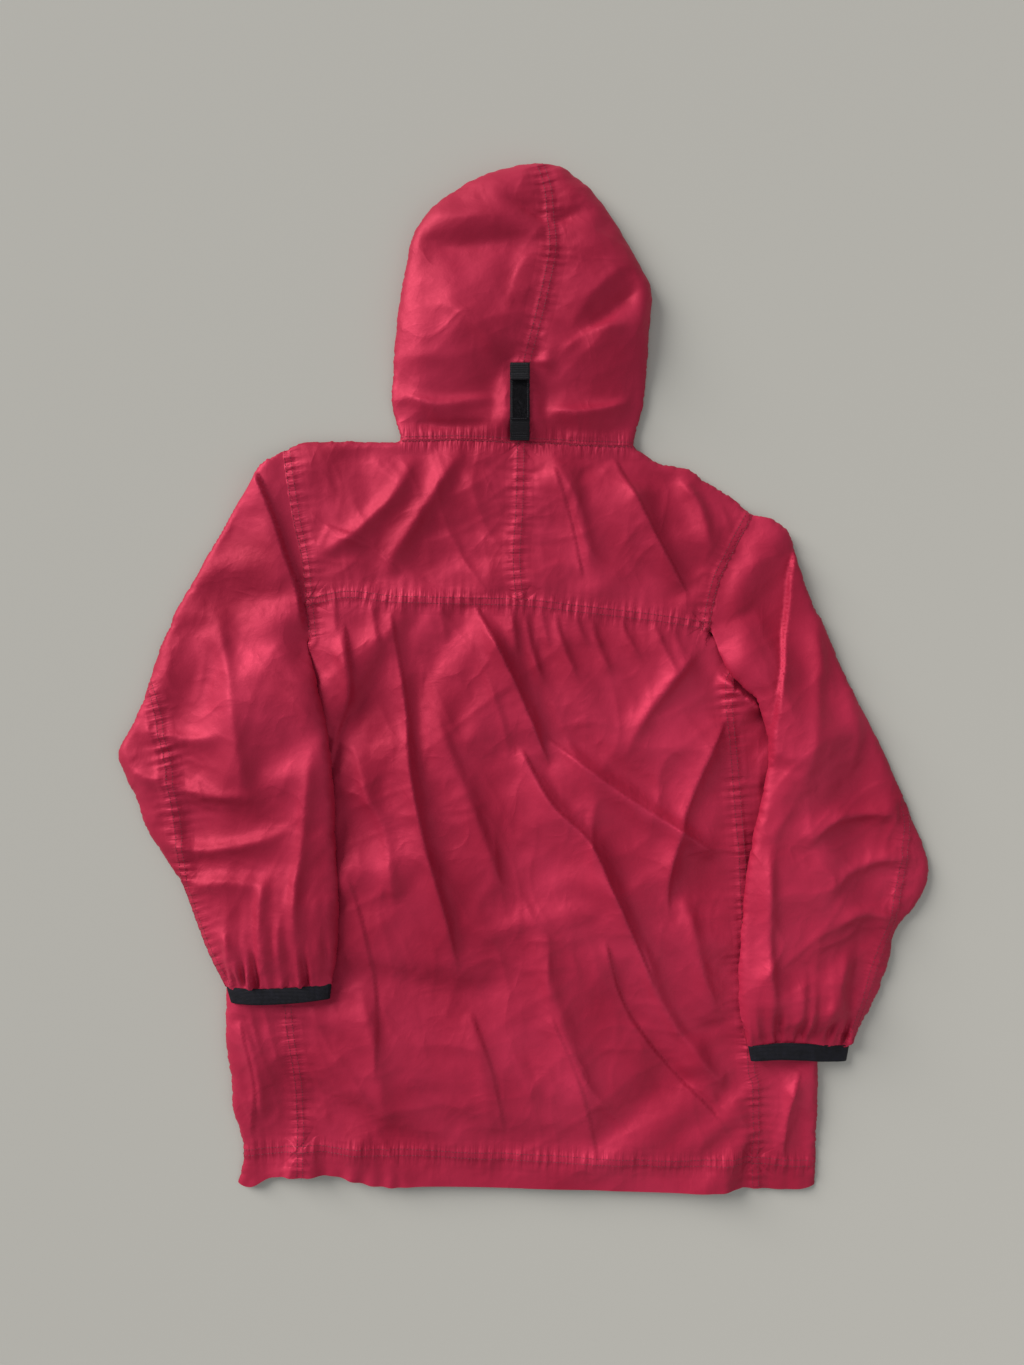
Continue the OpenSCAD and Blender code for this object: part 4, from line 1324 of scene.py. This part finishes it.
# Black polyester thread, a little lighter and shinier than the webbing, so its stitches show.
black_thread, black_shader = new_material("black_polyester_thread")
place = add_node(black_thread, "ShaderNodeTexCoord").outputs["Object"]
plies = add_node(black_thread, "ShaderNodeTexNoise", {"Scale": 1200.0}, {"Vector": place})
dye = add_node(black_thread, "ShaderNodeValToRGB", links={"Fac": plies.outputs["Fac"]})
dye.color_ramp.elements[0].color = linear("#17161a")
dye.color_ramp.elements[1].color = linear("#46454c")
linked(black_thread, black_shader, Base_Color=dye.outputs["Color"])
black_shader.inputs["Roughness"].default_value = 0.5


def strap_stitches(name, rows, turn):
    """Rows of black stitches that lie on the strap: (start, end, lift)."""
    shape, dash_faces = stitch_shape()
    points, faces = [], []
    count = 0
    pitch = 2.2
    for start, end, lift in rows:
        length = math.dist(start, end)
        for n in range(int(length / pitch)):
            a = (n * pitch + 0.3) / length
            b = (n * pitch + 1.9) / length
            head = np.array([start[k] + (end[k] - start[k]) * a for k in (0, 1)])
            tail = np.array([start[k] + (end[k] - start[k]) * b for k in (0, 1)])
            ahead = (tail - head) / 2
            across = np.array([-ahead[1], ahead[0]]) / np.hypot(*ahead) * 0.25
            z = np.interp((head[1] + tail[1]) / 2, strap_places, lying) + lift
            xy = (head + tail) / 2 + shape[:, 2:3] * ahead + shape[:, 0:1] * across
            points.append(np.column_stack([xy, z + shape[:, 1] * 0.2]))
            faces += [[i + count for i in face] for face in dash_faces]
            count += len(shape)
    piece = new_piece(name, np.vstack(points), faces, black_thread)
    turned_with(piece, turn)
    return piece


x0, x1 = strap_x - strap_half + 1.6, strap_x + strap_half - 1.6
strap_stitches("strap_stitching", [((x0, 245.5), (x1, 245.5), 1.55), ((x0, 248), (x1, 248), 1.55),
                                   ((x0, patch_low_y + 0.9), (x1, patch_low_y + 0.9), 3.2),
                                   ((x0 + 0.4, patch_low_y + 2), (x0 + 0.4, patch_high_y - 1), 3.2),
                                   ((x1 - 0.4, patch_low_y + 2), (x1 - 0.4, patch_high_y - 1), 3.2)],
               HOOD_TURN)
strap_stitches("tab_stitching", [((x0, tab_high_y - 1.6), (x1, tab_high_y - 1.6), 5.55),
                                 ((x0, tab_low_y + 5.4), (x1, tab_low_y + 5.4), 6.45)], "flap")

# ---- Hang loop ---------------------------------------------------------------------------
# A narrow loop of black webbing sewn into the back of the neck, inside, for a coat hook.

loop_line = smooth_line([(-28, 238), (-22, 219), (0, 210), (22, 219), (28, 238)], 4)
strip("hang_loop_band", [(BODY, loop_line, -2.5, 2.5, -2.0)], 0.9, webbing, "torso", "hang_loop",
      step=3.0)

# ---- Zip ---------------------------------------------------------------------------------
# Moulded acetal teeth on black woven tape, with an enamelled zinc slider and pull.

# Polyester twill, matt black. Its ribs are drawn 1.5 mm apart, wider than real ones, to show.
tape, tape_shader = new_material("black_woven_zip_tape")
place = add_node(tape, "ShaderNodeTexCoord").outputs["Object"]
rib = add_node(tape, "ShaderNodeTexWave", {"Scale": 300.0, "Distortion": 0.6}, {"Vector": place},
               bands_direction="DIAGONAL")
pick = add_node(tape, "ShaderNodeTexWave", {"Scale": 360.0, "Distortion": 0.6}, {"Vector": place},
                bands_direction="Y")
twill = add_node(tape, "ShaderNodeMath", links={0: rib.outputs["Fac"], 1: pick.outputs["Fac"]},
                 operation="ADD")
tone = add_node(tape, "ShaderNodeValToRGB", links={"Fac": rib.outputs["Fac"]})
tone.color_ramp.elements[0].color = linear("#18171b")
tone.color_ramp.elements[1].color = linear("#2c2b31")
tape_bump = add_node(tape, "ShaderNodeBump", {"Strength": 0.6, "Distance": 0.0003},
                     {"Height": twill.outputs[0]})
linked(tape, tape_shader, Base_Color=tone.outputs["Color"], Normal=tape_bump.outputs["Normal"])
tape_shader.inputs["Roughness"].default_value = 0.75

# Acetal from a smooth mould: black and slightly waxy, with a faint grain.
acetal, acetal_shader = new_material("moulded_black_acetal")
place = add_node(acetal, "ShaderNodeTexCoord").outputs["Object"]
moulding = add_node(acetal, "ShaderNodeTexNoise", {"Scale": 700.0, "Detail": 3.0}, {"Vector": place})
tone = add_node(acetal, "ShaderNodeValToRGB", links={"Fac": moulding.outputs["Fac"]})
tone.color_ramp.elements[0].color = linear("#141416")
tone.color_ramp.elements[1].color = linear("#26262a")
acetal_bump = add_node(acetal, "ShaderNodeBump", {"Strength": 0.2, "Distance": 0.0001},
                       {"Height": moulding.outputs["Fac"]})
linked(acetal, acetal_shader, Base_Color=tone.outputs["Color"], Normal=acetal_bump.outputs["Normal"])
acetal_shader.inputs["Roughness"].default_value = 0.36
acetal_shader.inputs["IOR"].default_value = 1.48

# Zinc casting under black enamel: a soft gloss, with paler, duller patches where it is rubbed.
enamel, enamel_shader = new_material("black_enamelled_zinc")
place = add_node(enamel, "ShaderNodeTexCoord").outputs["Object"]
wear = add_node(enamel, "ShaderNodeTexNoise", {"Scale": 300.0, "Detail": 5.0, "Roughness": 0.7},
                {"Vector": place})
tone = add_node(enamel, "ShaderNodeValToRGB", links={"Fac": wear.outputs["Fac"]})
tone.color_ramp.elements[0].position = 0.4
tone.color_ramp.elements[0].color = linear("#17171a")
tone.color_ramp.elements[1].position = 0.85
tone.color_ramp.elements[1].color = linear("#4a4a4e")
gloss = add_node(enamel, "ShaderNodeMapRange", {"To Min": 0.25, "To Max": 0.5},
                 {"Value": wear.outputs["Fac"]})
linked(enamel, enamel_shader, Base_Color=tone.outputs["Color"], Roughness=gloss.outputs["Result"])
enamel_shader.inputs["Coat Weight"].default_value = 0.3

for node in ("zip_tape_left", "zip_tape_right", "zip_teeth_left", "zip_teeth_right", "zip_stops", "zip_box",
             "zip_slider", "zip_pull"):
    finish = tape if "tape" in node else enamel if node in ("zip_slider", "zip_pull") else acetal
    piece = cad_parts[node]
    for place in piece.material_slots:
        place.material = finish
